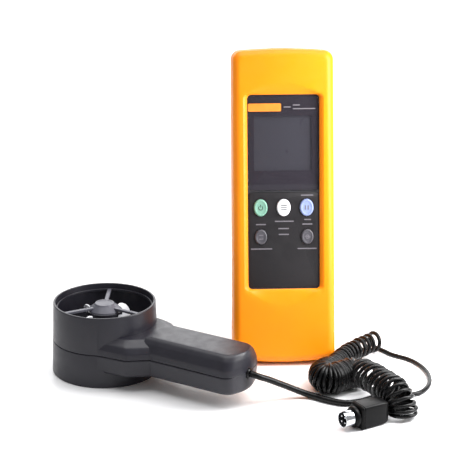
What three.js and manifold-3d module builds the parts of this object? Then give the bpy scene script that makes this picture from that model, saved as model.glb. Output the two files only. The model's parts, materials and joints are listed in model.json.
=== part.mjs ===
// A hand-held vane anemometer: a meter in a rubber holster that leans back on its tilt stand, and a
// separate vane sensor on a curly cord with a round four-pin plug.
// Millimetres, +Z up. Layout frame: the two units stand on the plane z = 0, +X to the right, +Y to the
// back. The whole group is shifted so that its origin is under the middle of the two units.
import * as THREE from 'three';
import { ConvexGeometry } from 'three/addons/geometries/ConvexGeometry.js';
import { mergeVertices } from 'three/addons/utils/BufferGeometryUtils.js';
import Module from 'manifold-3d';

const wasm = await Module();
wasm.setup();

// ---------------------------------------------------------------- driving dimensions
const GAP = 0.3;                      // clearance between pieces that touch
const OVAL_STEPS = 8;                 // an oval is drawn with twice as many sides
const SHIFT = [27.173, -8.398, 0];      // layout frame to the object's own origin

// meter and holster, in the meter's own frame: x across, y from the front face back, z up its length
const LEAN = 12;                      // degrees the meter leans back
const METER_TURN = 2.3;               // degrees the meter is turned on the table, towards the sensor
const METER_AT = [30.3, 0, 2.9];      // bottom middle of the holster's front face
const BOOT_W = [64.6, 63];            // width at the bottom and at the top
const BOOT_L = 198.2;
const BOOT_D = 38;
const BOOT_CORNER = 6;
const BOOT_ROUND = 4;                 // soft edge around the front and the back
const CASE_W = 56.4;
const CASE_Z = [5.3, 192.7];
const CASE_Y = [3.1, 34.3];
const CASE_SPLIT = 18.5;              // depth at which the front and rear shells meet
const CASE_WALL = 2;
const OPENING_W = 45.2;
const OPENING_Z = [47.2, 169.8];
const PANEL_HALF = 22.1;              // half the width of the lens and of the keypad's sheet
const LENS_Z = [109.5, 169.1];
const LENS_T = 1.2;
const SHEET_Z = [48, 108.4];
const SHEET_T = 0.6;
const WINDOW_W = 36.8;
const WINDOW_Z = [121.5, 156.8];
const DOOR_W = 37.4;
const DOOR_Z = [20.3, 76.7];
const STAND_PIVOT = [41.5, 122];      // y and z of the stand's hinge
const STAND_OPEN = 20;                // degrees between the open stand and the back
const STAND_LEG_X = 27;
const PIN_R = 1.25;
const SOCKET_Y = 19;
const SOCKET_R = 7;
const PIN_HOLE_R = 0.55;

// sensor, in its own frame: drum axis on z, handle along +x
const SENSOR_AT = [-83, 0, 0];
const HANDLE_ANGLE = -32;             // degrees from +X to the handle
const DRUM_R = [33.7, 32.05];          // at the bottom and at the top
const DRUM_BORE = 30.7;
const DRUM_H = 45.5;
const SPLIT_Z = 21.4;                 // height at which the sensor's shells meet
const NECK = [[8, 30.2], [34.8, 27.4], [47.2, 18]];       // [along, half width] at the parting line
const HANDLE_END = 106.4;              // middle of the handle's end face, which bulges
const END_BULGE = 3;
const HANDLE_HALF = 18.2;
const HANDLE_CORNER = 6.5;
const UNDERSIDE_Z = 9.6;              // underside of the neck and the handle
const CORD_Z = 20;
const DRUM_SIDES = 56;
const ARM_TURN = 120;                 // degrees from +x to the first bridge arm
const ARM_Z = [40.6, 42.2];
const REAR_ARM_Z = [4, 5.6];
const HUB_R = 11;
const BLADES = 4;
const BLADE_TIP_R = 20;
const BLADE_HALF = 6.2;               // half the width of a blade
const BLADE_TURN = 74;                // degrees from +x to the first blade at rest
const BLADE_PITCH = 62;               // degrees between a blade and the plane of rotation
const BLADE_Z = 33.6;                 // height of the blades' middle

// cord and plug, in the layout frame
const CORD_R = 1.5;
const COIL_UPPER_R = 7.3;
const COIL_LOWER_R = 9.6;
const PLUG_AT = [76.7, -85.8, 7.2];
const PLUG_FRONT = 8;                 // the body's reach from that point, forward and back
const PLUG_BACK = 12;
const PLUG_ANGLE = 211.8;             // degrees from +X to the way the plug points
const LEAD_ROUTE = [
  [8.8, -57.4, 20], [10.9, -58.4, 19.6], [13.7, -58.2, 18.4], [18.5, -55.8, 15.9], [24.5, -53.2, 12.4],
  [30.5, -50.4, 8.8], [36.5, -48.4, 5.4], [42, -48, 3], [47.5, -50, 2.1], [53.3, -54.4, 2.1],
  [65.1, -59.5, 2], [74.4, -56.8, 1.8], [84, -49.8, 1.6], [93.3, -46.4, 1.6], [102.4, -46.6, 1.6],
  [110.6, -44.1, 1.6], [116.3, -36.8, 1.6], [119.7, -25, 1.6], [119.2, -9.4, 1.6], [114.6, 2.9, 1.6],
  [109, 10.5, 1.6], [103, 15, 1.6], [98.7, 18.8, 1.8], [96, 21.6, 2.3],
];
const COIL_UPPER_ROUTE = [
  [91.1, 28.6, 7.4], [81.7, 18.8, 7.4], [73.2, 8.2, 7.4],
  [67.4, -2.4, 7.6], [63.3, -11.6, 8], [60.2, -19.4, 8.4],
];
// the lower limb: down to the bend, then back over the lead to the end that stands on the table
const COIL_BEND_ROUTE = [[59.4, -21.4, 9.7], [56, -29.5, 9.7], [54, -37.5, 9.7]];
const COIL_LOWER_ROUTE = [
  [54, -38.5, 9.7], [61.5, -36, 9.7], [69, -32.4, 9.9], [75.5, -33.4, 10.8],
  [80.4, -42.5, 12.5], [84.6, -53, 14], [89, -63, 15], [92.5, -69, 14.6],
];
const COIL_END_AT = [97.6, -74];
const COIL_END_Z = [0.05, 13.5];

// ---------------------------------------------------------------- solids
const deg = THREE.MathUtils.degToRad;

function solid(geometry) {
  const bare = geometry.index ? geometry.toNonIndexed() : geometry.clone();
  bare.deleteAttribute('normal');
  bare.deleteAttribute('uv');
  const merged = mergeVertices(bare, 1e-4);
  return new wasm.Manifold(new wasm.Mesh({
    numProp: 3,
    vertProperties: new Float32Array(merged.attributes.position.array),
    triVerts: new Uint32Array(merged.index.array),
  }));
}

function geometryOf(manifold) {
  const mesh = manifold.getMesh();
  const geometry = new THREE.BufferGeometry();
  geometry.setAttribute('position', new THREE.BufferAttribute(mesh.vertProperties, 3));
  geometry.setIndex(new THREE.BufferAttribute(mesh.triVerts, 1));
  geometry.computeVertexNormals();
  return geometry;
}

function addPiece(parent, name, shape, look) {
  const mesh = new THREE.Mesh(geometryOf(shape), new THREE.MeshStandardMaterial(look));
  mesh.name = name;
  parent.add(mesh);
  return mesh;
}

function box(x, y, z) {
  const geometry = new THREE.BoxGeometry(x[1] - x[0], y[1] - y[0], z[1] - z[0]);
  geometry.translate((x[0] + x[1]) / 2, (y[0] + y[1]) / 2, (z[0] + z[1]) / 2);
  return solid(geometry);
}

// a round bar along 'x', 'y' or 'z' from low to high, centred on the other two coordinates
function bar(axis, radius, low, high, centre = [0, 0], sides = 24, endRadius = radius) {
  const geometry = new THREE.CylinderGeometry(endRadius, radius, high - low, sides);
  geometry.translate(0, (low + high) / 2, 0);
  if (axis === 'z') geometry.rotateX(Math.PI / 2);
  if (axis === 'x') geometry.rotateZ(-Math.PI / 2);
  if (axis === 'x') geometry.translate(0, centre[0], centre[1]);
  if (axis === 'y') geometry.translate(centre[0], 0, centre[1]);
  if (axis === 'z') geometry.translate(centre[0], centre[1], 0);
  return solid(geometry);
}

// a turned piece about z; the profile's points are [radius, z], up the outside and down the inside
function turned(profile, sides = 32) {
  const points = profile.map(([r, z]) => new THREE.Vector2(r, z));
  const geometry = new THREE.LatheGeometry(points, sides);
  geometry.rotateX(Math.PI / 2);
  return solid(geometry);
}

// an outline in the x-z plane made thick along y from y0 to y1, with its edges softened by round
function slabY(shape, y0, y1, round = 0, steps = 1, curve = 2) {
  const geometry = new THREE.ExtrudeGeometry(shape, {
    depth: y1 - y0 - 2 * round,
    bevelEnabled: round > 0,
    bevelThickness: round,
    bevelSize: round,
    bevelOffset: -round,
    bevelSegments: steps,
    curveSegments: curve,
  });
  geometry.rotateX(Math.PI / 2);
  geometry.translate(0, y1 - round, 0);
  return solid(geometry);
}

function slabZ(shape, z0, z1, round = 0, steps = 1) {
  const geometry = new THREE.ExtrudeGeometry(shape, {
    depth: z1 - z0 - 2 * round,
    bevelEnabled: round > 0,
    bevelThickness: round,
    bevelSize: round,
    bevelOffset: -round,
    bevelSegments: steps,
    curveSegments: 2,
  });
  geometry.translate(0, 0, z0 + round);
  return solid(geometry);
}

function roundedRect(x, z, r) {
  const shape = new THREE.Shape();
  shape.moveTo(x[0] + r, z[0]);
  shape.lineTo(x[1] - r, z[0]);
  shape.absarc(x[1] - r, z[0] + r, r, -Math.PI / 2, 0);
  shape.absarc(x[1] - r, z[1] - r, r, 0, Math.PI / 2);
  shape.absarc(x[0] + r, z[1] - r, r, Math.PI / 2, Math.PI);
  shape.absarc(x[0] + r, z[0] + r, r, Math.PI, Math.PI * 1.5);
  return shape;
}

function oval(cx, cz, rx, rz) {
  const shape = new THREE.Shape();
  shape.absellipse(cx, cz, rx, rz, 0, Math.PI * 2);
  return shape;
}

// the convex solid through an outline that is drawn in by inset at each [height, inset] layer
function stacked(outlineAt, layers) {
  const points = [];
  for (const [z, inset] of layers) {
    for (const [x, y] of outlineAt(inset)) points.push(new THREE.Vector3(x, y, z));
  }
  return solid(new ConvexGeometry(points));
}

function joined(...shapes) {
  return shapes.reduce((whole, shape) => whole.add(shape));
}

function cut(shape, ...tools) {
  return tools.reduce((whole, tool) => whole.subtract(tool), shape);
}

function tube(route, radius, sides, steps) {
  const path = new THREE.CatmullRomCurve3(route.map((p) => new THREE.Vector3(...p)), false, 'centripetal');
  const section = new THREE.Shape();
  section.absarc(0, 0, radius, 0, Math.PI * 2);
  const outline = new THREE.Shape(section.getSpacedPoints(sides).slice(0, -1));
  return solid(new THREE.ExtrudeGeometry(outline, { steps, extrudePath: path, bevelEnabled: false }));
}

// ---------------------------------------------------------------- looks
const YELLOW_RUBBER = { color: 0xf7a823, roughness: 0.55, metalness: 0 };
const CASE_GREY = { color: 0x3a3a3f, roughness: 0.55, metalness: 0 };
const PANEL_BLACK = { color: 0x2c282c, roughness: 0.45, metalness: 0 };
const LENS_SMOKE = { color: 0x35353b, roughness: 0.12, metalness: 0 };
const LCD_GREY = { color: 0x55565c, roughness: 0.3, metalness: 0 };
const SENSOR_GREY = { color: 0x42434a, roughness: 0.5, metalness: 0 };
const VANE_WHITE = { color: 0xe8e8ea, roughness: 0.4, metalness: 0 };
const HUB_GREY = { color: 0x8a8a90, roughness: 0.45, metalness: 0.1 };
const BOARD_GREEN = { color: 0x1f5a37, roughness: 0.6, metalness: 0 };
const STEEL = { color: 0xb9bbc0, roughness: 0.3, metalness: 0.9 };
const BRONZE = { color: 0xa9783f, roughness: 0.4, metalness: 0.8 };
const MAGNET = { color: 0x4b4b50, roughness: 0.5, metalness: 0.5 };
const CORD_BLACK = { color: 0x141416, roughness: 0.5, metalness: 0 };
const CHROME = { color: 0xd8dade, roughness: 0.15, metalness: 1 };
const MAT_RUBBER = { color: 0x6d6f74, roughness: 0.8, metalness: 0 };
const BATTERY_BLUE = { color: 0x2b3f63, roughness: 0.35, metalness: 0.2 };
const BUTTONS = [
  { name: 'power_button', at: [-14.5, 98.8], size: [4.3, 5.4], color: 0x2f7d62 },
  { name: 'function_button', at: [0, 98.8], size: [4.3, 5.4], color: 0xe9e9ec },
  { name: 'hold_button', at: [14.5, 98.8], size: [4.3, 5.4], color: 0x5a63a8 },
  { name: 'min_max_button', at: [-14.4, 80.3], size: [3.9, 4.8], color: 0x5b5a60 },
  { name: 'average_button', at: [14.9, 80.3], size: [3.9, 4.8], color: 0x5b5a60 },
];

// ---------------------------------------------------------------- meter
const HALF_CASE = CASE_W / 2;
const SCREW_SPOTS = [[-22.5, 14], [22.5, 14], [-22.5, 183], [22.5, 183]];
const SHELL_FRONT_Y = [CASE_Y[0], CASE_SPLIT - GAP / 2];
const SHELL_REAR_Y = [CASE_SPLIT + GAP / 2, CASE_Y[1]];

// front outline of the holster: straight sides, gently arched ends
function bootOutline() {
  const [w, top] = BOOT_W.map((width) => width / 2);
  const r = BOOT_CORNER;
  const shape = new THREE.Shape();
  const low = 1.5;                     // height of the bottom corners over the bottom's middle
  const high = BOOT_L - 1;             // height of the top corners, 1 below the top's middle
  shape.moveTo(w, low + r);
  shape.lineTo(top, high - r);
  shape.absarc(top - r, high - r, r, 0, Math.PI / 2);
  shape.quadraticCurveTo(0, BOOT_L + 1, -top + r, high);
  shape.absarc(-top + r, high - r, r, Math.PI / 2, Math.PI);
  shape.lineTo(-w, low + r);
  shape.absarc(-w + r, low + r, r, Math.PI, Math.PI * 1.5);
  shape.quadraticCurveTo(0, -low, w - r, low);
  shape.absarc(w - r, low + r, r, -Math.PI / 2, 0);
  return shape;
}

// the dished edge around the holster's front opening: wide arcs above and below, narrow at the sides
function dishOutline() {
  const side = OPENING_W / 2 + 2.6;
  const steps = 8;
  const points = [];
  for (let i = 0; i <= steps; i += 1) {
    const t = Math.PI * (i / steps);
    const rise = Math.sin(t) ** 0.6;
    points.push([side * Math.cos(t), OPENING_Z[1] - 4 + 11.8 * rise]);
    points.push([-side * Math.cos(t), OPENING_Z[0] + 2 - 13.2 * rise]);
  }
  return points;
}

function dish() {
  const side = OPENING_W / 2;
  const points = [];
  for (const [x, z] of dishOutline()) points.push(new THREE.Vector3(x, -0.3, z));
  for (const x of [-side, side]) {
    for (const z of OPENING_Z) points.push(new THREE.Vector3(x, 2.3, z));
  }
  return solid(new ConvexGeometry(points));
}

// the two ears on the holster's back that the stand's pin goes through
function standLugs() {
  const round = 3.2;
  const [y, z] = STAND_PIVOT;
  const lug = (x) => {
    const block = box(x, [BOOT_D - 1, y], [z - round, z + 5]);
    return joined(block, bar('x', round, x[0], x[1], STAND_PIVOT));
  };
  return joined(lug([-23.5, -18]), lug([18, 23.5]));
}

function makeHolster() {
  const block = slabY(bootOutline(), 0, BOOT_D, BOOT_ROUND, 3, 3);
  const pocketX = HALF_CASE + GAP;
  const pocket = slabY(roundedRect([-pocketX, pocketX], [CASE_Z[0] - GAP, CASE_Z[1] + GAP], 5),
    CASE_Y[0] - GAP, CASE_Y[1] + GAP);
  const opening = slabY(roundedRect([-OPENING_W / 2, OPENING_W / 2], OPENING_Z, 2.5), -1, 4);
  const rearWindow = slabY(roundedRect([-22, 22], [15, 84], 4), CASE_Y[1] - 1, BOOT_D + 1);
  const socketHole = bar('z', 9, CASE_Z[1] - 1, BOOT_L + 2, [0, SOCKET_Y], 32);
  const whole = joined(block, standLugs());
  const pinHole = bar('x', PIN_R + GAP, -40, 40, STAND_PIVOT, 16);
  const heel = groundCutter(LEAN, METER_AT[2]);
  return cut(whole, pocket, opening, dish(), rearWindow, socketHole, pinHole, heel);
}

// everything under the ground plane, in a frame that leans by angle with its origin at height
function groundCutter(angle, height) {
  const geometry = new THREE.BoxGeometry(200, 300, 60);
  geometry.translate(0, 0, -30 - height);
  geometry.rotateX(deg(angle));
  return solid(geometry);
}

function shellBlank(y) {
  return slabY(roundedRect([-HALF_CASE, HALF_CASE], CASE_Z, 4.7), y[0], y[1]);
}

function shellHollow(y0, y1) {
  const x = HALF_CASE - CASE_WALL;
  return slabY(roundedRect([-x, x], [CASE_Z[0] + CASE_WALL, CASE_Z[1] - CASE_WALL], 3), y0, y1);
}

// a flat plate let into the face of the case, and the pocket that it lies in
function facePlate(z, thickness) {
  return slabY(roundedRect([-PANEL_HALF, PANEL_HALF], z, 2), CASE_Y[0], CASE_Y[0] + thickness);
}

function facePocket(z, thickness) {
  const outline = roundedRect([-PANEL_HALF - GAP, PANEL_HALF + GAP], [z[0] - GAP, z[1] + GAP], 2.2);
  return slabY(outline, CASE_Y[0] - 1, CASE_Y[0] + thickness + GAP);
}

function buttonHole({ at, size }) {
  return slabY(oval(...at, size[0] + GAP, size[1] + GAP), 0, CASE_Y[0] + 4, 0, 1, OVAL_STEPS);
}

function makeFrontShell() {
  const [y0, y1] = SHELL_FRONT_Y;
  let shell = cut(shellBlank([y0, y1]), shellHollow(y0 + CASE_WALL, y1 + 1));
  for (const spot of SCREW_SPOTS) shell = shell.add(bar('y', 3, y0 + CASE_WALL - 0.2, y1, spot, 16));
  for (const spot of SCREW_SPOTS) shell = shell.subtract(bar('y', 1.4, y0 + 4, y1 + 1, spot, 12));
  const window = slabY(roundedRect([-WINDOW_W / 2, WINDOW_W / 2], WINDOW_Z, 1.5), y0 - 1, y0 + 4);
  shell = cut(shell, facePocket(LENS_Z, LENS_T), facePocket(SHEET_Z, SHEET_T), window);
  for (const button of BUTTONS) shell = shell.subtract(buttonHole(button));
  return shell.subtract(socketHole());
}

// the hole in the case's top end that the socket sits in
function socketHole() {
  return bar('z', SOCKET_R + GAP, CASE_Z[1] - 4, CASE_Z[1] + 2, [0, SOCKET_Y], 24);
}

function makeRearShell() {
  const [y0, y1] = SHELL_REAR_Y;
  let shell = cut(shellBlank([y0, y1]), shellHollow(y0 - 1, y1 - CASE_WALL));
  for (const spot of SCREW_SPOTS) shell = shell.add(bar('y', 3.6, y0, y1 - CASE_WALL + 0.2, spot, 16));
  for (const spot of SCREW_SPOTS) shell = shell.subtract(bar('y', 1.5, y0 - 1, y1 + 1, spot, 12));
  for (const spot of SCREW_SPOTS) shell = shell.subtract(bar('y', 2.8, y1 - 3.2, y1 + 1, spot, 16));
  for (const x of [-17, 15]) shell = shell.add(box([x, x + 2], [y0 + 2, y1 - CASE_WALL + 0.2], [18, 78]));
  const half = DOOR_W / 2 + GAP;
  const bay = slabY(roundedRect([-half, half], [DOOR_Z[0] - GAP, DOOR_Z[1] + GAP], 2.5), y1 - 2.6, y1 + 1);
  const door = slabY(roundedRect([-14.9, 14.9], [DOOR_Z[0] + 1, DOOR_Z[1] - 1], 2), y0 - 1, y1 + 1);
  return cut(shell, bay, door, socketHole());
}

function makeDoor() {
  const y1 = CASE_Y[1];
  const plate = slabY(roundedRect([-DOOR_W / 2, DOOR_W / 2], DOOR_Z, 2.3), y1 - 1.9, y1);
  const lip = box([-6, 6], [y1 - 3.4, y1 - 1.5], [DOOR_Z[1] - 4, DOOR_Z[1] - 2]);
  let door = joined(plate, lip);
  for (const z of [62, 65, 68, 71]) door = door.subtract(box([-8, 8], [y1 - 0.5, y1 + 1], [z, z + 1.2]));
  return door;
}

function makeOverlay() {
  return cut(facePlate(SHEET_Z, SHEET_T), ...BUTTONS.map(buttonHole));
}

function makeButton({ at, size }) {
  const cap = slabY(oval(...at, ...size), 1.8, 6, 0.7, 2, OVAL_STEPS);
  const flange = slabY(oval(at[0], at[1], size[0] + 1.2, size[1] + 1.2), 5.5, 6.5, 0, 1, OVAL_STEPS);
  return joined(cap, flange, bar('y', 2, 6, 7.6, at, 12));
}

function makeKeypadMat() {
  let mat = slabY(roundedRect([-22, 22], [68, 108], 2), 10.2, 11.7);
  for (const { at } of BUTTONS) mat = mat.add(bar('y', 2.4, 8.8, 10.4, at, 12, 3.2));
  return mat;
}

function makeLcdFrame() {
  const frame = slabY(roundedRect([-23, 23], [114, 161], 1.5), 5.5, 11.8);
  const seat = slabY(roundedRect([-21, 21], [115.9, 159.1], 1), 5, 8.2);
  const core = slabY(roundedRect([-18, 18], [120, 156], 1), 5, 13);
  return cut(frame, seat, core);
}

function makeSocket() {
  const top = CASE_Z[1] + 1.3;
  const centre = [0, SOCKET_Y];
  const core = bar('z', 4.1, top - 8, top + 2, centre, 20);
  const ring = cut(bar('z', 5.1, top - 7, top + 1, centre, 20), core);
  const holes = pinSpots().map(([x, y]) => bar('z', PIN_HOLE_R, top - 6, top + 1, [x, SOCKET_Y + y], 8));
  return cut(bar('z', SOCKET_R, top - 13.6, top, centre, 24), ring, ...holes);
}

// the four contacts of the connector, on a small circle
function pinSpots() {
  const circle = 2.3;
  return [45, 135, 225, 315].map((angle) => [circle * Math.cos(deg(angle)), circle * Math.sin(deg(angle))]);
}

function makeScrew(spot) {
  const depth = [CASE_Y[1] - 1.6, CASE_Y[1]];
  const head = bar('y', 2.5, CASE_Y[1] - 2.9, CASE_Y[1] - 0.9, spot, 12);
  const slot = box([spot[0] - 2, spot[0] + 2], depth, [spot[1] - 0.35, spot[1] + 0.35]);
  const cross = box([spot[0] - 0.35, spot[0] + 0.35], depth, [spot[1] - 2, spot[1] + 2]);
  return cut(joined(head, bar('y', 1.1, 9, CASE_Y[1] - 2.5, spot, 8)), slot, cross);
}

// the bail, in a frame whose origin is the hinge pin and whose z points up its legs
function makeStand() {
  const length = standLength();
  const [y, w] = [1.9, 2.7];
  let bail = box([-STAND_LEG_X - w, STAND_LEG_X + w], [-y, y - 0.4], [-length - 1, -length + 7]);
  for (const x of [-STAND_LEG_X, STAND_LEG_X]) {
    bail = bail.add(box([x - w, x + w], [-y, y - 0.4], [-length, 0]));
    bail = bail.add(bar('x', 3, x - w, x + w, [0, 0], 20));
  }
  bail = bail.subtract(bar('x', PIN_R + GAP, -40, 40, [0, 0], 16));
  const ground = groundCutter(LEAN - STAND_OPEN, pivotHeight());
  return bail.subtract(ground);
}

function pivotHeight() {
  const [y, z] = STAND_PIVOT;
  return METER_AT[2] - y * Math.sin(deg(LEAN)) + z * Math.cos(deg(LEAN));
}

function standLength() {
  return pivotHeight() / Math.cos(deg(STAND_OPEN - LEAN));
}

function makeMeter() {
  const meter = new THREE.Group();
  meter.position.set(...METER_AT);
  meter.rotation.set(-deg(LEAN), 0, deg(METER_TURN), 'ZYX');
  addPiece(meter, 'holster', makeHolster(), YELLOW_RUBBER);
  addPiece(meter, 'front_shell', makeFrontShell(), CASE_GREY);
  addPiece(meter, 'rear_shell', makeRearShell(), CASE_GREY);
  addPiece(meter, 'battery_door', makeDoor(), CASE_GREY);
  addPiece(meter, 'display_lens', facePlate(LENS_Z, LENS_T), LENS_SMOKE);
  addPiece(meter, 'keypad_overlay', makeOverlay(), PANEL_BLACK);
  for (const button of BUTTONS) {
    addPiece(meter, button.name, makeButton(button), { color: button.color, roughness: 0.4, metalness: 0 });
  }
  addPiece(meter, 'lcd_glass', slabY(roundedRect([-20.5, 20.5], [116.4, 158.6], 0.6), 5.6, 7.6), LCD_GREY);
  addPiece(meter, 'lcd_frame', makeLcdFrame(), PANEL_BLACK);
  addPiece(meter, 'keypad_mat', makeKeypadMat(), MAT_RUBBER);
  addPiece(meter, 'main_board', box([-25, 25], [12.2, 13.8], [19, 178]), BOARD_GREEN);
  addPiece(meter, 'battery', slabZ(roundedRect([-13.2, 13.2], [14.4, 31.6], 2.2), 22.6, 71), BATTERY_BLUE);
  addPiece(meter, 'battery_snap', box([-12.4, 12.4], [16, 29.5], [71.4, 74.6]), CORD_BLACK);
  addPiece(meter, 'sensor_socket', makeSocket(), CORD_BLACK);
  SCREW_SPOTS.forEach((spot, i) => addPiece(meter, `case_screw_${i + 1}`, makeScrew(spot), STEEL));
  addPiece(meter, 'stand_pin', bar('x', PIN_R, -29.4, 29.4, STAND_PIVOT, 16), STEEL);
  const stand = new THREE.Group();
  stand.position.set(0, ...STAND_PIVOT);
  stand.rotation.x = deg(STAND_OPEN);
  addPiece(stand, 'tilt_stand', makeStand(), CASE_GREY);
  meter.add(stand);
  return meter;
}

// ---------------------------------------------------------------- sensor
const UPPER_Z = SPLIT_Z + GAP / 2;
const LOWER_Z = SPLIT_Z - GAP / 2;
const SENSOR_SCREWS = [[50, -9.5], [50, 9.5], [92, 0]];
const SHELL_WALL = 2;

// [height, inset] layers of the neck and the handle, above and below the parting line
const NECK_LAYERS = [[UPPER_Z, 0], [25.5, 0.5], [29, 2.6], [32.4, 8]];
const HANDLE_LAYERS = [[UPPER_Z, 0], [26, 0.6], [30.5, 2.8], [33, 5], [34, 6.8]];
const LOWER_LAYERS = [[UNDERSIDE_Z, 2.6], [UNDERSIDE_Z + 1.8, 0.8], [LOWER_Z, 0]];

// an outline's near side followed by the same points on its far side
function mirrored(right) {
  return [...right, ...right.map(([x, y]) => [x, -y]).reverse()];
}

// the neck's and the handle's plan outlines, drawn in by inset and by the thickness of a wall
function neckOutline(inset, wall) {
  return mirrored(NECK.map(([x, w], i) => [x - (i > 0 ? (inset + wall) * 0.55 : 0), w - inset - wall]));
}

function handleOutline(inset, wall) {
  const r = HANDLE_CORNER;
  const w = HANDLE_HALF - inset - wall;
  const x = HANDLE_END - inset * 0.3 - wall;
  const corner = [0, 30, 60, 90].map((angle) => [
    x - END_BULGE - r + r * Math.sin(deg(angle)),
    w - r + r * Math.cos(deg(angle)),
  ]);
  return mirrored([[40, w], ...corner, [x - END_BULGE / 4, w / 3]]);
}

function neckAndHandle(neckLayers, handleLayers, wall) {
  const neck = stacked((inset) => neckOutline(inset, wall), neckLayers);
  return joined(neck, stacked((inset) => handleOutline(inset, wall), handleLayers));
}

// the room inside the neck and the handle, kept out of the drum's wall: every layer is moved by lift,
// and the one at the parting line goes past it
function innerRoom(neckLayers, handleLayers, lift) {
  const moved = (layers) => layers.map(([z, inset]) => {
    const split = z === UPPER_Z || z === LOWER_Z;
    return [split ? z + Math.sign(lift) : z + lift, inset];
  });
  const room = neckAndHandle(moved(neckLayers), moved(handleLayers), SHELL_WALL);
  return room.subtract(bar('z', DRUM_R[0] + 0.6, -1, DRUM_H + 1, [0, 0], DRUM_SIDES));
}

// the drum's outside tapers towards the top
function drumSolid(z0, z1) {
  const radiusAt = (z) => DRUM_R[0] + (DRUM_R[1] - DRUM_R[0]) * (z / DRUM_H);
  return bar('z', radiusAt(z0), z0, z1, [0, 0], DRUM_SIDES, radiusAt(z1));
}

function drumBore() {
  return bar('z', DRUM_BORE, -1, DRUM_H + 1, [0, 0], DRUM_SIDES);
}

function makeUpperShell() {
  const outside = joined(drumSolid(UPPER_Z, DRUM_H), neckAndHandle(NECK_LAYERS, HANDLE_LAYERS, 0));
  let shell = outside.subtract(innerRoom(NECK_LAYERS, HANDLE_LAYERS, -SHELL_WALL));
  for (const spot of SENSOR_SCREWS) shell = shell.add(bar('z', 3, UPPER_Z, 32, spot, 16));
  for (const spot of SENSOR_SCREWS) shell = shell.subtract(bar('z', 1.4, UPPER_Z - 1, 29.6, spot, 12));
  return cut(shell, drumBore(), cordHole());
}

function makeLowerShell() {
  const outside = joined(drumSolid(0, LOWER_Z), neckAndHandle(LOWER_LAYERS, LOWER_LAYERS, 0));
  let shell = outside.subtract(innerRoom(LOWER_LAYERS, LOWER_LAYERS, SHELL_WALL));
  const below = UNDERSIDE_Z - 1;
  for (const spot of SENSOR_SCREWS) shell = shell.add(bar('z', 3.6, UNDERSIDE_Z + 1.5, LOWER_Z, spot, 16));
  for (const spot of SENSOR_SCREWS) shell = shell.subtract(bar('z', 1.4, below, LOWER_Z + 1, spot, 12));
  for (const spot of SENSOR_SCREWS) shell = shell.subtract(bar('z', 2.8, below, 13.4, spot, 16));
  return cut(shell, drumBore(), cordHole());
}

function cordHole() {
  return bar('x', 3.2 + GAP, HANDLE_END - 6, HANDLE_END + 2, [0, CORD_Z], 16);
}

function spider(z0, z1, innerR, outerR) {
  const middle = bar('z', outerR - 1.1, z0 - 1, z1 + 1, [0, 0], DRUM_SIDES);
  let frame = cut(bar('z', outerR, z0, z1, [0, 0], DRUM_SIDES), middle);
  for (let i = 0; i < 3; i += 1) {
    const arm = new THREE.BoxGeometry(outerR - innerR - 0.4, 2.6, z1 - z0);
    arm.translate((outerR + innerR - 0.4) / 2, 0, (z0 + z1) / 2);
    arm.rotateZ(deg(ARM_TURN + 120 * i));
    frame = frame.add(solid(arm));
  }
  return frame;
}

function makeFrontBridge() {
  const hub = turned([
    [0, 39.8], [2.9, 39.8], [2.9, 36.8], [4, 36.8], [4, 39.8], [9.4, 39], [9.4, 34.8], [HUB_R, 34.8],
    [HUB_R, 39.2], [10.1, 39.6], [10.1, 40.2], [6.4, 43.2], [5.8, 44], [0, 44],
  ], 28);
  return joined(spider(...ARM_Z, 8, DRUM_BORE - GAP), hub);
}

function makeRearBridge() {
  const hub = turned([[0, 2.6], [5, 2.6], [7, 4], [7, 9.6], [2.9, 9.6], [2.9, 6.8], [0, 6.8]], 24);
  return joined(spider(...REAR_ARM_Z, 5.5, DRUM_BORE - GAP), hub);
}

function makeBearing(z0, z1) {
  return turned([[1.25, z0], [2.6, z0], [2.6, z1], [1.25, z1], [1.25, z0]], 14);
}

// one paddle: narrow at its root, round at its tip
function bladeOutline() {
  const half = BLADE_HALF;
  const shape = new THREE.Shape();
  shape.moveTo(3.5, -2.6);
  shape.lineTo(11, -half + 1.2);
  shape.lineTo(BLADE_TIP_R - half, -half);
  shape.absarc(BLADE_TIP_R - half, 0, half, -Math.PI / 2, Math.PI / 2);
  shape.lineTo(11, half - 1.2);
  shape.lineTo(3.5, 2.6);
  return shape;
}

function makeImpeller() {
  const paddle = { depth: 1.1, bevelEnabled: false, curveSegments: 4 };
  let impeller = bar('z', 5.2, 27.4, 34.2, [0, 0], 24);
  for (let i = 0; i < BLADES; i += 1) {
    const blade = new THREE.ExtrudeGeometry(bladeOutline(), paddle);
    blade.translate(0, 0, -paddle.depth / 2);
    blade.rotateX(deg(BLADE_PITCH));
    blade.translate(0, 0, BLADE_Z);
    blade.rotateZ(deg(BLADE_TURN + (360 / BLADES) * i));
    impeller = impeller.add(solid(blade));
  }
  const hubRoom = bar('z', HUB_R + 0.8, 34.3, 50, [0, 0], 36);
  return cut(impeller, hubRoom, bar('z', 1.25, 20, 40, [0, 0], 16));
}

function makeSensorScrew(spot) {
  const depth = [10, 11.9];
  const head = bar('z', 2.5, 11.2, 13.1, spot, 12);
  const slot = box([spot[0] - 2, spot[0] + 2], [spot[1] - 0.35, spot[1] + 0.35], depth);
  const cross = box([spot[0] - 0.35, spot[0] + 0.35], [spot[1] - 2, spot[1] + 2], depth);
  return cut(joined(head, bar('z', 1.1, 12.8, 28.6, spot, 8)), slot, cross);
}

function makeGrommet() {
  const x = HANDLE_END;
  const profile = [
    [0, x - 5.2], [4.4, x - 5.2], [4.4, x - 3.2], [3.2, x - 3.2],
    [3.2, x + 0.2], [2.3, x + 1.1], [0, x + 1.1],
  ];
  const geometry = new THREE.LatheGeometry(profile.map(([r, along]) => new THREE.Vector2(r, along)), 16);
  geometry.rotateZ(-Math.PI / 2);
  geometry.translate(0, 0, CORD_Z);
  return solid(geometry);
}

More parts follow.
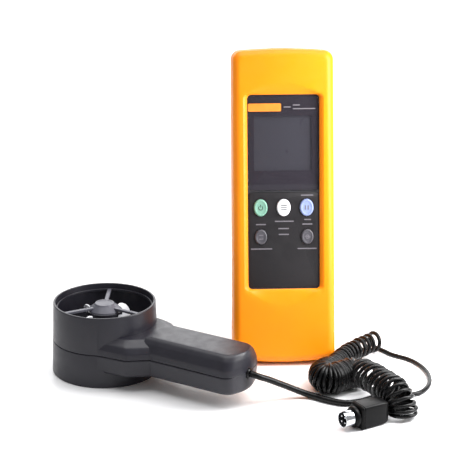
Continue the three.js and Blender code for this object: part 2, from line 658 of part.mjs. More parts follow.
function makeSensor() {
  const sensor = new THREE.Group();
  sensor.position.set(...SENSOR_AT);
  sensor.rotation.z = deg(HANDLE_ANGLE);
  addPiece(sensor, 'sensor_upper_shell', makeUpperShell(), SENSOR_GREY);
  addPiece(sensor, 'sensor_lower_shell', makeLowerShell(), SENSOR_GREY);
  addPiece(sensor, 'front_bridge', makeFrontBridge(), HUB_GREY);
  addPiece(sensor, 'rear_bridge', makeRearBridge(), HUB_GREY);
  addPiece(sensor, 'upper_bearing', makeBearing(37.1, 39.4), BRONZE);
  addPiece(sensor, 'lower_bearing', makeBearing(7.1, 9.4), BRONZE);
  addPiece(sensor, 'rotor_shaft', bar('z', 0.95, 7.2, 39.3, [0, 0], 12), STEEL);
  addPiece(sensor, 'impeller', makeImpeller(), VANE_WHITE);
  addPiece(sensor, 'rotor_magnet',
    turned([[1.4, 34.6], [4.6, 34.6], [4.6, 36.2], [1.4, 36.2], [1.4, 34.6]], 20), MAGNET);
  addPiece(sensor, 'pickup_board',
    turned([[4.6, 37.4], [9, 37.4], [9, 38.6], [4.6, 38.6], [4.6, 37.4]], 20), BOARD_GREEN);
  addPiece(sensor, 'handle_board', box([58, 84], [-11, 11], [15.6, 17.2]), BOARD_GREEN);
  SENSOR_SCREWS.forEach((spot, i) => {
    addPiece(sensor, `sensor_screw_${i + 1}`, makeSensorScrew(spot), STEEL);
  });
  addPiece(sensor, 'cord_grommet', makeGrommet(), CORD_BLACK);
  return sensor;
}

// ---------------------------------------------------------------- cord and plug
// the plug, in a frame whose origin is the middle of its body and whose +x points the way it plugs in
function makePlug() {
  const plug = new THREE.Group();
  plug.position.set(...PLUG_AT);
  plug.rotation.z = deg(PLUG_ANGLE);
  const bevel = 1;
  const body = new THREE.ExtrudeGeometry(roundedRect([-6.2, 6.2], [-7.2, 7.2], 1.2), {
    depth: PLUG_FRONT + PLUG_BACK - 2 * bevel,
    bevelEnabled: true,
    bevelThickness: bevel,
    bevelSize: 0.9,
    bevelOffset: -0.9,
    bevelSegments: 2,
    curveSegments: 3,
  });
  body.rotateX(Math.PI / 2);
  body.rotateZ(Math.PI / 2);
  body.translate(bevel - PLUG_BACK, 0, 0);
  addPiece(plug, 'plug_body', solid(body), CORD_BLACK);
  const collar = cut(bar('x', 6.3, 8 + GAP, 11.3, [0, 0], 28), bar('x', 2, 7, 9, [0, 0], 12));
  addPiece(plug, 'plug_collar', collar, CORD_BLACK);
  const shell = cut(bar('x', 4.75, 11.6, 18, [0, 0], 24), bar('x', 4.3, 11.4, 19, [0, 0], 24));
  addPiece(plug, 'plug_shell', shell, CHROME);
  const insert = cut(bar('x', 3.9, 11.7, 13.6, [0, 0], 16), box([12.8, 14], [-1.1, 1.1], [2.4, 5]));
  addPiece(plug, 'plug_insert', insert, CORD_BLACK);
  pinSpots().forEach((spot, i) => {
    addPiece(plug, `plug_pin_${i + 1}`, bar('x', 0.45, 13.9, 17.2, spot, 10), CHROME);
  });
  return plug;
}

// the lower limb of the curly cord: two tubes that meet in a ball, and the drum that its last turns make
function makeLowerCoil() {
  const bend = new THREE.SphereGeometry(COIL_LOWER_R, 16, 12);
  bend.translate(...COIL_LOWER_ROUTE[0]);
  const limb = tube(COIL_LOWER_ROUTE, COIL_LOWER_R, 12, 14);
  const end = bar('z', COIL_LOWER_R, ...COIL_END_Z, COIL_END_AT, 16);
  const table = box([0, 200], [-200, 100], [-40, COIL_END_Z[0]]);
  return cut(joined(tube(COIL_BEND_ROUTE, COIL_LOWER_R, 12, 4), solid(bend), limb, end), table);
}

function makeCord() {
  const cord = new THREE.Group();
  addPiece(cord, 'cord_lead', tube(LEAD_ROUTE, CORD_R, 8, 48), CORD_BLACK);
  addPiece(cord, 'cord_coil_upper', tube(COIL_UPPER_ROUTE, COIL_UPPER_R, 12, 8), CORD_BLACK);
  addPiece(cord, 'cord_coil_lower', makeLowerCoil(), CORD_BLACK);
  const along = (d) => [
    PLUG_AT[0] - Math.cos(deg(PLUG_ANGLE)) * d,
    PLUG_AT[1] - Math.sin(deg(PLUG_ANGLE)) * d,
    PLUG_AT[2],
  ];
  const tail = [PLUG_BACK + GAP, PLUG_BACK + 0.9, PLUG_BACK + 1.5];
  addPiece(cord, 'cord_tail', tube(tail.map(along), CORD_R, 8, 3), CORD_BLACK);
  return cord;
}

const anemometer = new THREE.Group();
anemometer.position.set(...SHIFT);
anemometer.add(makeMeter(), makeSensor(), makePlug(), makeCord());

export default anemometer;
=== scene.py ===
import json
import math

import bmesh
import bpy
import numpy as np
from mathutils import Matrix, Vector

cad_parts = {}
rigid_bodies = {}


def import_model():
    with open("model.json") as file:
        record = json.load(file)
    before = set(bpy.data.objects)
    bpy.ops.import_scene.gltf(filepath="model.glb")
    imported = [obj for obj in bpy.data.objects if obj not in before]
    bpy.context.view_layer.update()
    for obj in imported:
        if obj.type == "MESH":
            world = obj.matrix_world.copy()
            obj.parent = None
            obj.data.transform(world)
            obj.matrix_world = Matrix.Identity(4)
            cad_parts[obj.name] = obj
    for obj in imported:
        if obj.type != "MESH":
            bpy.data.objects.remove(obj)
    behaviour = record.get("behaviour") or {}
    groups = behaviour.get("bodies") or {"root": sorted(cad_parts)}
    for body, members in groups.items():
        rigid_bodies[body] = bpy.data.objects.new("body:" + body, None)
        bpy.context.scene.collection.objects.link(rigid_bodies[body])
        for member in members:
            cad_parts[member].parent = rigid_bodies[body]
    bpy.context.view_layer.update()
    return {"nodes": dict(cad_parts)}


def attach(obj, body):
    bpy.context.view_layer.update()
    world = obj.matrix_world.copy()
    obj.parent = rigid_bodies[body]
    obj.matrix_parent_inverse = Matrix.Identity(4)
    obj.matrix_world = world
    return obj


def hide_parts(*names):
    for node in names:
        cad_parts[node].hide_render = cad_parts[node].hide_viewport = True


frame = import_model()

# ---------------------------------------------------------------- places and sizes
MM = 0.001
SHIFT = Vector((27.173, -8.398, 0.0))  # from the layout's origin to the object's own, mm
LEAN = 12.0  # degrees that the meter leans back
METER_TURN = 2.3  # degrees that it is turned towards the sensor
HANDLE_ANGLE = -32.0  # degrees from +X to the sensor's handle
PLUG_ANGLE = 211.8  # degrees from +X to the way the plug points


def placed(x, y, z, turn, axis):
    """The matrix of a unit's own frame, in metres, from its place in the layout."""
    spot = (Vector((x, y, z)) + SHIFT) * MM
    return Matrix.Translation(spot) @ Matrix.Rotation(math.radians(turn), 4, axis)


METER = placed(30.3, 0, 2.9, METER_TURN, "Z") @ Matrix.Rotation(math.radians(-LEAN), 4, "X")
SENSOR = placed(-83.0, 0, 0, HANDLE_ANGLE, "Z")
PLUG = placed(76.7, -85.8, 7.2, PLUG_ANGLE, "Z")

# the meter, in its own frame: x across, y back from the front face, z up its length
BOOT_HALF, BOOT_LOW, BOOT_HIGH, BOOT_DEPTH = 32.3, 1.5, 197.2, 38.0
BOOT_TAPER = 0.8  # how much less the half width is at the top
BOOT_CORNER, BOOT_ROUND, BOOT_PARTING = 6.0, 5.0, 19.0
BOOT_BOW = (1.5, 1.0)  # how far its lower and upper ends bulge
# the holster's openings and hollows: half width, low, high and corner, and the dish's bulge at either end
OPENING = (22.6, 47.2, 169.8, 2.6)
DISH = (25.3, 46.1, 170.6, 3.4, 9.8, 6.6)
POCKET = (28.5, 5.0, 193.0, 5.0)
BACK_WINDOW = (22.0, 15.0, 84.0, 4.0)
DISH_DEPTH, LIP_Y = 2.15, 2.8
PANEL_HALF = 22.1
SHEET_LOW, SHEET_HIGH, LENS_LOW, LENS_HIGH = 48.0, 108.4, 109.5, 169.1
CASE_FRONT, CASE_BACK = 3.1, 34.3
STAND_PIVOT = (41.5, 122.0)
LUG_X, LUG_W = (-23.5, 18.0), 5.5  # the two lugs that hold the stand's pin
SOCKET_Y = 19.0
# each key: its middle across and up, and its half width and half height
BUTTONS = {
    "power": (-14.5, 98.8, 4.3, 5.4),
    "function": (0.0, 98.8, 4.3, 5.4),
    "hold": (14.5, 98.8, 4.3, 5.4),
    "min_max": (-14.4, 80.3, 3.9, 4.8),
    "average": (14.9, 80.3, 3.9, 4.8),
}

# the sensor, in its own frame: drum axis on z, handle along +x
DRUM_LOW_R, DRUM_HIGH_R, BORE_R, DRUM_H, SPLIT_Z = 33.7, 32.05, 30.7, 45.5, 21.4
HANDLE_END, HANDLE_HALF, CORD_Z, SENSOR_WALL = 106.4, 18.2, 20.0, 2.0
ARM_TURN, BLADE_TURN, BLADES, BLADE_PITCH = 120.0, 74.0, 4, 62.0
BLADE_TIP, BLADE_HALF, BLADE_Z = 13.8, 6.2, 33.6

# the cord: its route in metres, and the curly part's spine
WIRE = 0.0027
COIL_R_UPPER, COIL_R_LOWER = 0.0055, 0.00825
LEAD = [
    (0.0088, -0.0574, 0.02), (0.0109, -0.0584, 0.0196), (0.0137, -0.0582, 0.0184),
    (0.0185, -0.0558, 0.0159), (0.0245, -0.0532, 0.0124), (0.0305, -0.0504, 0.0088),
    (0.0365, -0.0484, 0.0054), (0.042, -0.048, 0.003), (0.0475, -0.05, 0.0021),
    (0.0533, -0.0544, 0.0021), (0.0651, -0.0595, 0.002), (0.0744, -0.0568, 0.0018),
    (0.084, -0.0498, 0.0016), (0.0933, -0.0464, 0.0015), (0.1024, -0.0466, 0.0014),
    (0.1106, -0.0441, 0.0014), (0.1163, -0.0368, 0.0014), (0.1197, -0.025, 0.0014),
    (0.1192, -0.0094, 0.0014), (0.1146, 0.0029, 0.0014), (0.109, 0.0105, 0.0014),
    (0.103, 0.015, 0.0014), (0.0987, 0.0188, 0.0014), (0.0955, 0.0233, 0.0014),
]
# how thick the cord is along its length: thicker towards the handle, and thinner where it is wound
LEAD_SWELL = [(0, 1.5), (0.05, 1.45), (0.11, 1.15), (0.16, 1.0), (0.21, 1.0), (0.26, 0.88)]
SPINE = [
    (0.0911, 0.0286, 0.007), (0.0815, 0.019, 0.007), (0.0728, 0.0086, 0.007),
    (0.0668, -0.0018, 0.0072), (0.0627, -0.0112, 0.0077), (0.0591, -0.0202, 0.0087),
    (0.0553, -0.0285, 0.0095), (0.0533, -0.0345, 0.0097), (0.0536, -0.0392, 0.0097),
    (0.0569, -0.0408, 0.0097), (0.0612, -0.0385, 0.0097), (0.066, -0.0347, 0.0097),
    (0.0712, -0.0318, 0.0099), (0.0757, -0.0336, 0.0107), (0.08, -0.042, 0.0124),
    (0.0842, -0.0525, 0.014), (0.0888, -0.0622, 0.0148), (0.0925, -0.0682, 0.0144),
    (0.0955, -0.0726, 0.0122), (0.0973, -0.0746, 0.0088), (0.0981, -0.0753, 0.005),
    (0.0984, -0.0756, 0.0014),
]
TAIL = [
    (0.09, -0.076, 0.004), (0.0897, -0.0778, 0.0062), (0.0884, -0.0786, 0.0072),
    (0.0862, -0.0799, 0.0072),
]


# ---------------------------------------------------------------- camera
def make_camera():
    """The camera, a metre in front of the object and looking down at it."""
    look_down = 18.88
    data = bpy.data.cameras.new("camera")
    data.sensor_width = 36.0
    data.lens = 136.71
    data.clip_end = 20.0
    camera = bpy.data.objects.new("camera", data)
    camera.location = (0.027173, -1.062598, 0.4479)
    camera.rotation_euler = (math.radians(90.0 - look_down), 0.0, 0.0)
    bpy.context.scene.collection.objects.link(camera)
    bpy.context.scene.camera = camera


make_camera()


# ---------------------------------------------------------------- materials
def linear(red, green, blue):
    """A colour given as 0-255 screen values, as the shader's linear values."""
    values = []
    for value in (red, green, blue):
        v = value / 255
        values.append(v / 12.92 if v <= 0.04045 else ((v + 0.055) / 1.055) ** 2.4)
    return (*values, 1.0)


class Look:
    """A procedural material: a Principled shader with helpers that feed it from textures in object space."""

    def __init__(self, name, colour, roughness, metallic=0.0):
        self.material = bpy.data.materials.new(name)
        self.material.use_nodes = True
        self.tree = self.material.node_tree
        self.shader = self.tree.nodes["Principled BSDF"]
        self.colour = linear(*colour)
        self.shader.inputs["Base Color"].default_value = self.colour
        self.shader.inputs["Roughness"].default_value = roughness
        self.shader.inputs["Metallic"].default_value = metallic
        self.place = self.tree.nodes.new("ShaderNodeTexCoord").outputs["Object"]

    def node(self, kind, **inputs):
        """A shader node, its inputs set by name with _ for each space."""
        made = self.tree.nodes.new(kind)
        for key, value in inputs.items():
            made.inputs[key.replace("_", " ")].default_value = value
        return made

    def link(self, source, target):
        self.tree.links.new(source, target)

    def noise(self, size_mm, detail, stretch=(1, 1, 1)):
        """Noise with features about size_mm across."""
        mapping = self.node("ShaderNodeMapping", Scale=stretch)
        made = self.node("ShaderNodeTexNoise", Scale=1.0 / (size_mm * MM), Detail=detail, Roughness=0.55)
        self.link(self.place, mapping.inputs["Vector"])
        self.link(mapping.outputs["Vector"], made.inputs["Vector"])
        return made.outputs["Fac"]

    def ranged(self, source, low, high):
        """Noise, which mostly lies between 0.3 and 0.7, spread over low to high."""
        made = self.node("ShaderNodeMapRange", From_Min=0.3, From_Max=0.7, To_Min=low, To_Max=high)
        self.link(source, made.inputs["Value"])
        return made.outputs["Result"]

    def mixed(self, factor, first, second):
        """A colour between first and second, by factor."""
        made = self.tree.nodes.new("ShaderNodeMix")
        made.data_type = "RGBA"
        self.link(factor, made.inputs["Factor"])
        made.inputs[6].default_value = first
        made.inputs[7].default_value = second
        return made.outputs[2]

    def drift(self, other, size_mm, amount=0.5):
        """Slow colour change over the surface towards another colour."""
        factor = self.ranged(self.noise(size_mm, 4.0), 0.0, amount)
        self.link(self.mixed(factor, self.colour, linear(*other)), self.shader.inputs["Base Color"])
        return self

    def sheenful(self, low, high, size_mm):
        """Roughness that varies between low and high."""
        self.link(self.ranged(self.noise(size_mm, 5.0), low, high), self.shader.inputs["Roughness"])
        return self

    def grain(self, size_mm, depth_mm, strength=0.5, stretch=(1, 1, 1)):
        """A fine relief on the surface."""
        bump = self.node("ShaderNodeBump", Strength=strength, Distance=depth_mm * MM)
        self.link(self.noise(size_mm, 2.0, stretch), bump.inputs["Height"])
        self.link(bump.outputs["Normal"], self.shader.inputs["Normal"])
        return self

    def set(self, **values):
        """Sets the shader's own inputs by name, with _ for each space."""
        for key, value in values.items():
            self.shader.inputs[key.replace("_", " ")].default_value = value
        return self


def make_looks():
    """Every material by its short name: its colour, the colour it drifts to, its gloss and its grain."""
    looks = {
        "boot": Look("boot_rubber", (250, 143, 5), 0.42)
        .drift((248, 137, 4), 26, 0.5).sheenful(0.36, 0.5, 7).grain(0.45, 0.05, 0.35)
        .set(Specular_IOR_Level=0.3, Subsurface_Weight=0.12)
        .set(Subsurface_Radius=(0.6, 0.3, 0.05), Subsurface_Scale=0.003),
        "case": Look("case_plastic", (44, 44, 48), 0.5)
        .drift((54, 54, 58), 15, 0.6).sheenful(0.42, 0.6, 4).grain(0.35, 0.04, 0.5),
        "panel": Look("panel_print", (17, 14, 18), 0.5)
        .drift((22, 18, 23), 18, 0.6).sheenful(0.42, 0.56, 6).grain(0.25, 0.015, 0.4),
        "lens": Look("lens_gloss", (34, 30, 38), 0.06)
        .drift((38, 34, 43), 22, 0.5).sheenful(0.04, 0.09, 9).grain(9.0, 0.03, 0.12)
        .set(Alpha=0.3, Coat_Weight=0.5, Coat_Roughness=0.03),
        "lcd": Look("lcd_panel", (98, 98, 108), 0.32)
        .drift((92, 92, 102), 12, 0.6).sheenful(0.26, 0.38, 5).grain(0.3, 0.006, 0.3),
        "sensor": Look("sensor_plastic", (31, 30, 38), 0.36)
        .drift((36, 35, 44), 20, 0.6).sheenful(0.32, 0.45, 5).grain(0.4, 0.03, 0.35)
        .set(Specular_IOR_Level=0.42),
        "bridge": Look("bridge_plastic", (84, 84, 94), 0.42)
        .drift((76, 76, 86), 8, 0.6).sheenful(0.36, 0.5, 3).grain(0.3, 0.03, 0.4),
        "vane": Look("vane_plastic", (236, 236, 240), 0.3)
        .drift((224, 225, 232), 9, 0.6).sheenful(0.24, 0.36, 4).grain(0.5, 0.02, 0.3)
        .set(Subsurface_Weight=0.15, Subsurface_Radius=(0.5, 0.5, 0.5), Subsurface_Scale=0.002),
        "board": Look("board_mask", (18, 84, 50), 0.35)
        .drift((24, 104, 62), 2.2, 0.9).sheenful(0.25, 0.45, 3).grain(0.9, 0.05, 0.6),
        "steel": Look("steel_plate", (190, 192, 196), 0.28, 1.0)
        .drift((168, 170, 176), 3, 0.7).sheenful(0.2, 0.4, 1.2).grain(0.2, 0.02, 0.4, (6, 1, 1)),
        "bronze": Look("bronze_bush", (176, 128, 70), 0.42, 1.0)
        .drift((150, 104, 54), 1.2, 0.8).sheenful(0.34, 0.55, 0.8).grain(0.15, 0.03, 0.5),
        "magnet": Look("ferrite", (62, 62, 66), 0.55, 0.6)
        .drift((80, 80, 84), 1.5, 0.7).sheenful(0.45, 0.65, 1.0).grain(0.2, 0.04, 0.5),
        "cord": Look("cord_jacket", (4, 4, 5), 0.26)
        .drift((8, 8, 9), 14, 0.6).sheenful(0.22, 0.34, 3).grain(0.5, 0.03, 0.3)
        .set(Specular_IOR_Level=0.22),
        "plug": Look("plug_plastic", (7, 7, 8), 0.36)
        .drift((12, 12, 13), 9, 0.6).sheenful(0.28, 0.42, 2.5).grain(0.35, 0.03, 0.45)
        .set(Specular_IOR_Level=0.12),
        "chrome": Look("bright_nickel", (226, 228, 232), 0.09, 1.0)
        .drift((205, 208, 214), 4, 0.6).sheenful(0.06, 0.14, 2.5).grain(1.5, 0.01, 0.2),
        "mat": Look("silicone_mat", (118, 120, 125), 0.6)
        .drift((104, 106, 112), 6, 0.6).sheenful(0.5, 0.7, 3).grain(0.3, 0.03, 0.4),
        "battery": Look("battery_wrap", (42, 62, 104), 0.28)
        .drift((32, 48, 84), 16, 0.7).sheenful(0.2, 0.36, 4).grain(2.0, 0.03, 0.2),
        "green": Look("button_green", (112, 160, 140), 0.36)
        .drift((136, 178, 160), 3.5, 0.7).sheenful(0.3, 0.44, 1.5).grain(0.2, 0.015, 0.35),
        "white": Look("button_white", (236, 236, 240), 0.36)
        .drift((222, 222, 228), 3.5, 0.6).sheenful(0.3, 0.44, 1.5).grain(0.2, 0.015, 0.35),
        "violet": Look("button_violet", (128, 142, 188), 0.36)
        .drift((146, 160, 204), 3.5, 0.7).sheenful(0.3, 0.44, 1.5).grain(0.2, 0.015, 0.35),
        "grey": Look("button_grey", (66, 64, 70), 0.38)
        .drift((84, 82, 88), 3.5, 0.7).sheenful(0.3, 0.46, 1.5).grain(0.2, 0.015, 0.35),
        "print_back": Look("print_back", (66, 60, 72), 0.5)
        .drift((62, 56, 68), 14, 0.6).sheenful(0.42, 0.58, 2).grain(0.15, 0.005, 0.3),
        # painted reflection: a paler strip that stands for the light caught on the lens's bevelled lower edge
        "painted_reflection_band": Look("painted_reflection_band", (80, 77, 86), 0.5)
        .drift((75, 72, 82), 14, 0.6).sheenful(0.42, 0.58, 2).grain(0.15, 0.005, 0.3),
        "ink_pale": Look("ink_pale", (112, 108, 114), 0.5)
        .drift((98, 94, 102), 2.0, 0.6).sheenful(0.42, 0.58, 1.0).grain(0.15, 0.005, 0.3),
        "ink_dark": Look("ink_dark", (30, 30, 34), 0.5)
        .drift((44, 44, 48), 2.0, 0.6).sheenful(0.42, 0.58, 1.0).grain(0.15, 0.005, 0.3),
        "ink_orange": Look("ink_orange", (236, 140, 44), 0.45)
        .drift((222, 122, 30), 5.0, 0.6).sheenful(0.38, 0.52, 1.5).grain(0.15, 0.005, 0.3),
    }
    return {key: look.material for key, look in looks.items()}


LOOKS = make_looks()


# ---------------------------------------------------------------- outlines and meshes, in millimetres
def softened(corners, closed=True, steps=4):
    """The outline through [a, b, round] corners, each corner rounded by its last number."""
    points = []
    count = len(corners)
    for i, (a, b, reach) in enumerate(corners):
        here = Vector((a, b))
        if not reach or (not closed and i in (0, count - 1)):
            points.append((a, b))
            continue
        before = Vector(corners[i - 1][:2]) - here
        after = Vector(corners[(i + 1) % count][:2]) - here
        start = here + before.normalized() * min(reach, before.length * 0.49)
        end = here + after.normalized() * min(reach, after.length * 0.49)
        for k in range(steps + 1):
            t = k / steps
            points.append(tuple(start * (1 - t) ** 2 + here * 2 * t * (1 - t) + end * t ** 2))
    return points


def arc(cx, cy, radius, first, last, steps):
    """Points of an arc between two angles in degrees, both ends included."""
    angles = [math.radians(first + (last - first) * i / steps) for i in range(steps + 1)]
    return [(cx + radius * math.cos(t), cy + radius * math.sin(t)) for t in angles]


def edge_steps(count):
    """The angles of a quarter turn in count steps, in radians."""
    return [math.radians(90 * k / count) for k in range(count + 1)]


def inset(outline, distance):
    """An outline that turns anticlockwise, drawn in by distance."""
    points = []
    count = len(outline)
    for i in range(count):
        here = Vector(outline[i])
        before = (here - Vector(outline[i - 1])).normalized()
        after = (Vector(outline[(i + 1) % count]) - here).normalized()
        normal = Vector((-before.y - after.y, before.x + after.x))
        if normal.length < 1e-6:
            normal = Vector((-after.y, after.x))
        normal.normalize()
        share = max(0.35, normal.dot(Vector((-after.y, after.x))))
        points.append(tuple(here + normal * (distance / share)))
    return points


def loft(rings, closed=False):
    """Points and faces of the surface through matching rings of points, capped unless it closes on itself."""
    count = len(rings[0])
    points = [point for ring in rings for point in ring]
    faces = []
    spans = len(rings) if closed else len(rings) - 1
    for a in range(spans):
        b = (a + 1) % len(rings)
        for i in range(count):
            j = (i + 1) % count
            faces.append((a * count + i, a * count + j, b * count + j, b * count + i))
    if not closed:
        faces.append(tuple(range(count)))
        faces.append(tuple((len(rings) - 1) * count + i for i in range(count)))
    return points, faces


def mesh_of(surface):
    """A mesh with its faces pointing out."""
    points, faces = surface
    mesh = bpy.data.meshes.new("made")
    mesh.from_pydata([tuple(p) for p in points], [], faces)
    work = bmesh.new()
    work.from_mesh(mesh)
    bmesh.ops.remove_doubles(work, verts=work.verts, dist=1e-5)
    bmesh.ops.recalc_face_normals(work, faces=work.faces)
    work.to_mesh(mesh)
    work.free()
    return mesh


def merged(*meshes):
    """Several meshes in one, as separate closed bodies."""
    points, faces = [], []
    for mesh in meshes:
        first = len(points)
        points += [tuple(v.co) for v in mesh.vertices]
        faces += [tuple(first + i for i in p.vertices) for p in mesh.polygons]
    made = bpy.data.meshes.new("merged")
    made.from_pydata(points, [], faces)
    return made


def moved(mesh, matrix):
    """The mesh itself, moved by a matrix."""
    mesh.transform(matrix)
    return mesh


def turned(profile, sides=96, closed=False):
    """A turned piece about z through [radius, z] points; a closed profile is a ring."""
    rings = []
    for radius, z in profile:
        ring = []
        for i in range(sides):
            t = 2 * math.pi * i / sides
            ring.append((radius * math.cos(t), radius * math.sin(t), z))
        rings.append(ring)
    return mesh_of(loft(rings, closed=closed))


def slab(outline, low, high, edge=0.3, steps=3, upright=False):
    """An outline made thick from low to high, its edges rounded; upright: drawn in x-z and thick along y."""
    lower = [(low, 0.0)]
    if edge:
        angles = reversed(edge_steps(steps))
        lower = [(low + edge * (1 - math.sin(t)), edge * (1 - math.cos(t))) for t in angles]
    upper = [(high - (z - low), d) for z, d in reversed(lower)]
    rings = []
    for z, d in lower + upper:
        drawn = inset(outline, d) if d else outline
        rings.append([(a, z, b) if upright else (a, b, z) for a, b in drawn])
    return mesh_of(loft(rings))


def sheet(outline, low, high):
    """An upright sheet with sharp edges."""
    return slab(outline, low, high, 0, 1, True)


def rounded_rect(x, y, radius, steps=6):
    """A rectangle with round corners between two x and two y, anticlockwise."""
    return (
        arc(x[1] - radius, y[0] + radius, radius, -90, 0, steps)
        + arc(x[1] - radius, y[1] - radius, radius, 0, 90, steps)
        + arc(x[0] + radius, y[1] - radius, radius, 90, 180, steps)
        + arc(x[0] + radius, y[0] + radius, radius, 180, 270, steps)
    )


def oval(cx, cy, rx, ry, steps=64):
    """An ellipse about a centre, anticlockwise."""
    angles = [2 * math.pi * i / steps for i in range(steps)]
    return [(cx + rx * math.cos(t), cy + ry * math.sin(t)) for t in angles]


def shaped(base, *steps):
    """The mesh after each (operation, mesh) step."""
    scene = bpy.context.scene.collection.objects
    target = bpy.data.objects.new("target", base)
    scene.link(target)
    tools = []
    for operation, mesh in steps:
        tool = bpy.data.objects.new("tool", mesh)
        scene.link(tool)
        tools.append(tool)
        modifier = target.modifiers.new("step", "BOOLEAN")
        modifier.operation = operation
        modifier.object = tool
        modifier.solver = "EXACT"
    bpy.context.view_layer.update()
    graph = bpy.context.evaluated_depsgraph_get()
    result = bpy.data.meshes.new_from_object(target.evaluated_get(graph))
    for made in [target, *tools]:
        bpy.data.objects.remove(made)
    return result


ALONG_X = Matrix.Rotation(math.radians(90), 4, "Y")  # lays a piece made along z along x


def cut(base, *tools):
    """The base with the tools cut away."""
    return shaped(base, *[("DIFFERENCE", tool) for tool in tools])


def joined(base, *tools):
    """The base and the tools as one body."""
    return shaped(base, *[("UNION", tool) for tool in tools])


def rod(radius, low, high, sides=48):
    """A round bar along z."""
    return turned([(radius, low), (radius, high)], sides)


def piece(name, mesh, at, body, look, stands_for=(), sharp=35.0):
    """Puts a finished mesh in place, on its body, in its material."""
    mesh.transform(at @ Matrix.Scale(MM, 4))
    mesh.name = name
    mesh.materials.clear()
    mesh.materials.append(LOOKS[look])
    mesh.polygons.foreach_set("use_smooth", [True] * len(mesh.polygons))
    mesh.polygons.foreach_set("material_index", [0] * len(mesh.polygons))
    mesh.set_sharp_from_angle(angle=math.radians(sharp))
    made = bpy.data.objects.new(name, mesh)
    bpy.context.scene.collection.objects.link(made)
    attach(made, body)
    if stands_for:
        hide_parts(*stands_for)
    return made


# ---------------------------------------------------------------- cord
def smooth_line(points, step=0.0008):
    """The centripetal Catmull-Rom curve through the points, as points about step apart."""
    knots = [Vector(p) for p in points]
    knots = [knots[0] * 2 - knots[1], *knots, knots[-1] * 2 - knots[-2]]
    line = []
    for a, b, c, d in zip(knots, knots[1:], knots[2:], knots[3:]):
        first, middle, last = (math.sqrt((q - p).length) for p, q in ((a, b), (b, c), (c, d)))
        leave = ((b - a) / first - (c - a) / (first + middle) + (c - b) / middle) * middle
        arrive = ((c - b) / middle - (d - b) / (middle + last) + (d - c) / last) * middle
        second = c * 3 - b * 3 - leave * 2 - arrive
        third = b * 2 - c * 2 + leave + arrive
        count = max(2, round((c - b).length / step))
        for k in range(count):
            t = k / count
            line.append(b + leave * t + second * t ** 2 + third * t ** 3)
    line.append(knots[-2])
    return line


def between(value, stops):
    """The value at a place among (place, value) stops, in straight steps."""
    return float(np.interp(value, [s[0] for s in stops], [s[1] for s in stops]))


# along the spine, in metres: how far apart the turns are, their radius, and how far they lean
COIL_PITCH = [
    (0, 0.0058), (0.014, 0.0049), (0.03, 0.0042), (0.045, 0.0034), (0.060, 0.0028), (0.069, 0.0023),
    (0.073, 0.0012), (0.087, 0.0011), (0.091, 0.0019), (0.099, 0.0021), (0.105, 0.0036), (0.112, 0.0056),
    (0.133, 0.0056), (0.140, 0.0034), (0.146, 0.0026), (0.162, 0.0025),
]
COIL_RADIUS = [(0, COIL_R_UPPER), (0.055, COIL_R_UPPER), (0.072, COIL_R_LOWER), (0.2, COIL_R_LOWER)]
COIL_TILT = [(0, 0.0), (0.1, 0.0), (0.112, 0.4), (0.133, 0.35), (0.143, 0.0)]
START_PHASE, END_PHASE = -90.0, -135.0  # where round the spine the coil starts and ends, in degrees
TURN_STEPS = 22


def coil_line():
    """The curly part of the cord: a left-handed helix about its spine."""
    spine = smooth_line(SPINE, 0.0004)
    last = len(spine) - 1
    steps = [(b - a).length for a, b in zip(spine, spine[1:])]
    reached = np.concatenate([[0], np.cumsum(steps)])
    turns = [0.0]
    for i, step in enumerate(steps):
        turns.append(turns[-1] + step / between(reached[i], COIL_PITCH))
    wanted = round(turns[-1]) + (START_PHASE - END_PHASE) / 360
    turns = np.array(turns) * wanted / turns[-1]
    line = []
    side = Vector((0, 0, 1)).cross(spine[4] - spine[0])
    for k in range(int(wanted * TURN_STEPS) + 1):
        turn = k / TURN_STEPS
        far = float(np.interp(turn, turns, reached))
        i = min(max(int(np.searchsorted(reached, far)), 1), last - 1)
        share = (far - reached[i - 1]) / max(1e-9, reached[i] - reached[i - 1])
        centre = spine[i - 1].lerp(spine[i], share)
        ahead = (spine[min(i + 4, last)] - spine[max(i - 4, 0)]).normalized()
        side = (side - ahead * side.dot(ahead)).normalized()
        up = ahead.cross(side)
        phase = math.radians(START_PHASE - 360 * turn)
        uneven = 1 + 0.03 * math.sin(turn * 2.4) + 0.02 * math.sin(turn * 5.1 + 1)
        radius = between(far, COIL_RADIUS) * uneven
        lean = between(far, COIL_TILT) * radius * math.sin(phase)
        point = centre + side * radius * math.cos(phase) + up * radius * math.sin(phase) + ahead * lean
        point.z = max(point.z, WIRE / 2)
        line.append(point)
    return line


def nearest(line, point):
    """The index of the line's point that is nearest to a point."""
    return min(range(len(line)), key=lambda i: (line[i] - point).length)


def cord_line():
    """The whole cord: from the handle to the coil, round the coil, and on to the plug."""
    coil = coil_line()
    lead = smooth_line([*LEAD, coil[0], coil[2], coil[4]])
    tail = smooth_line([coil[-5], coil[-3], coil[-1], *TAIL])
    lead = lead[:nearest(lead, coil[0])]
    tail = tail[nearest(tail, coil[-1]) + 1:]
    return [p + SHIFT * MM for p in [*lead, *coil, *tail]]


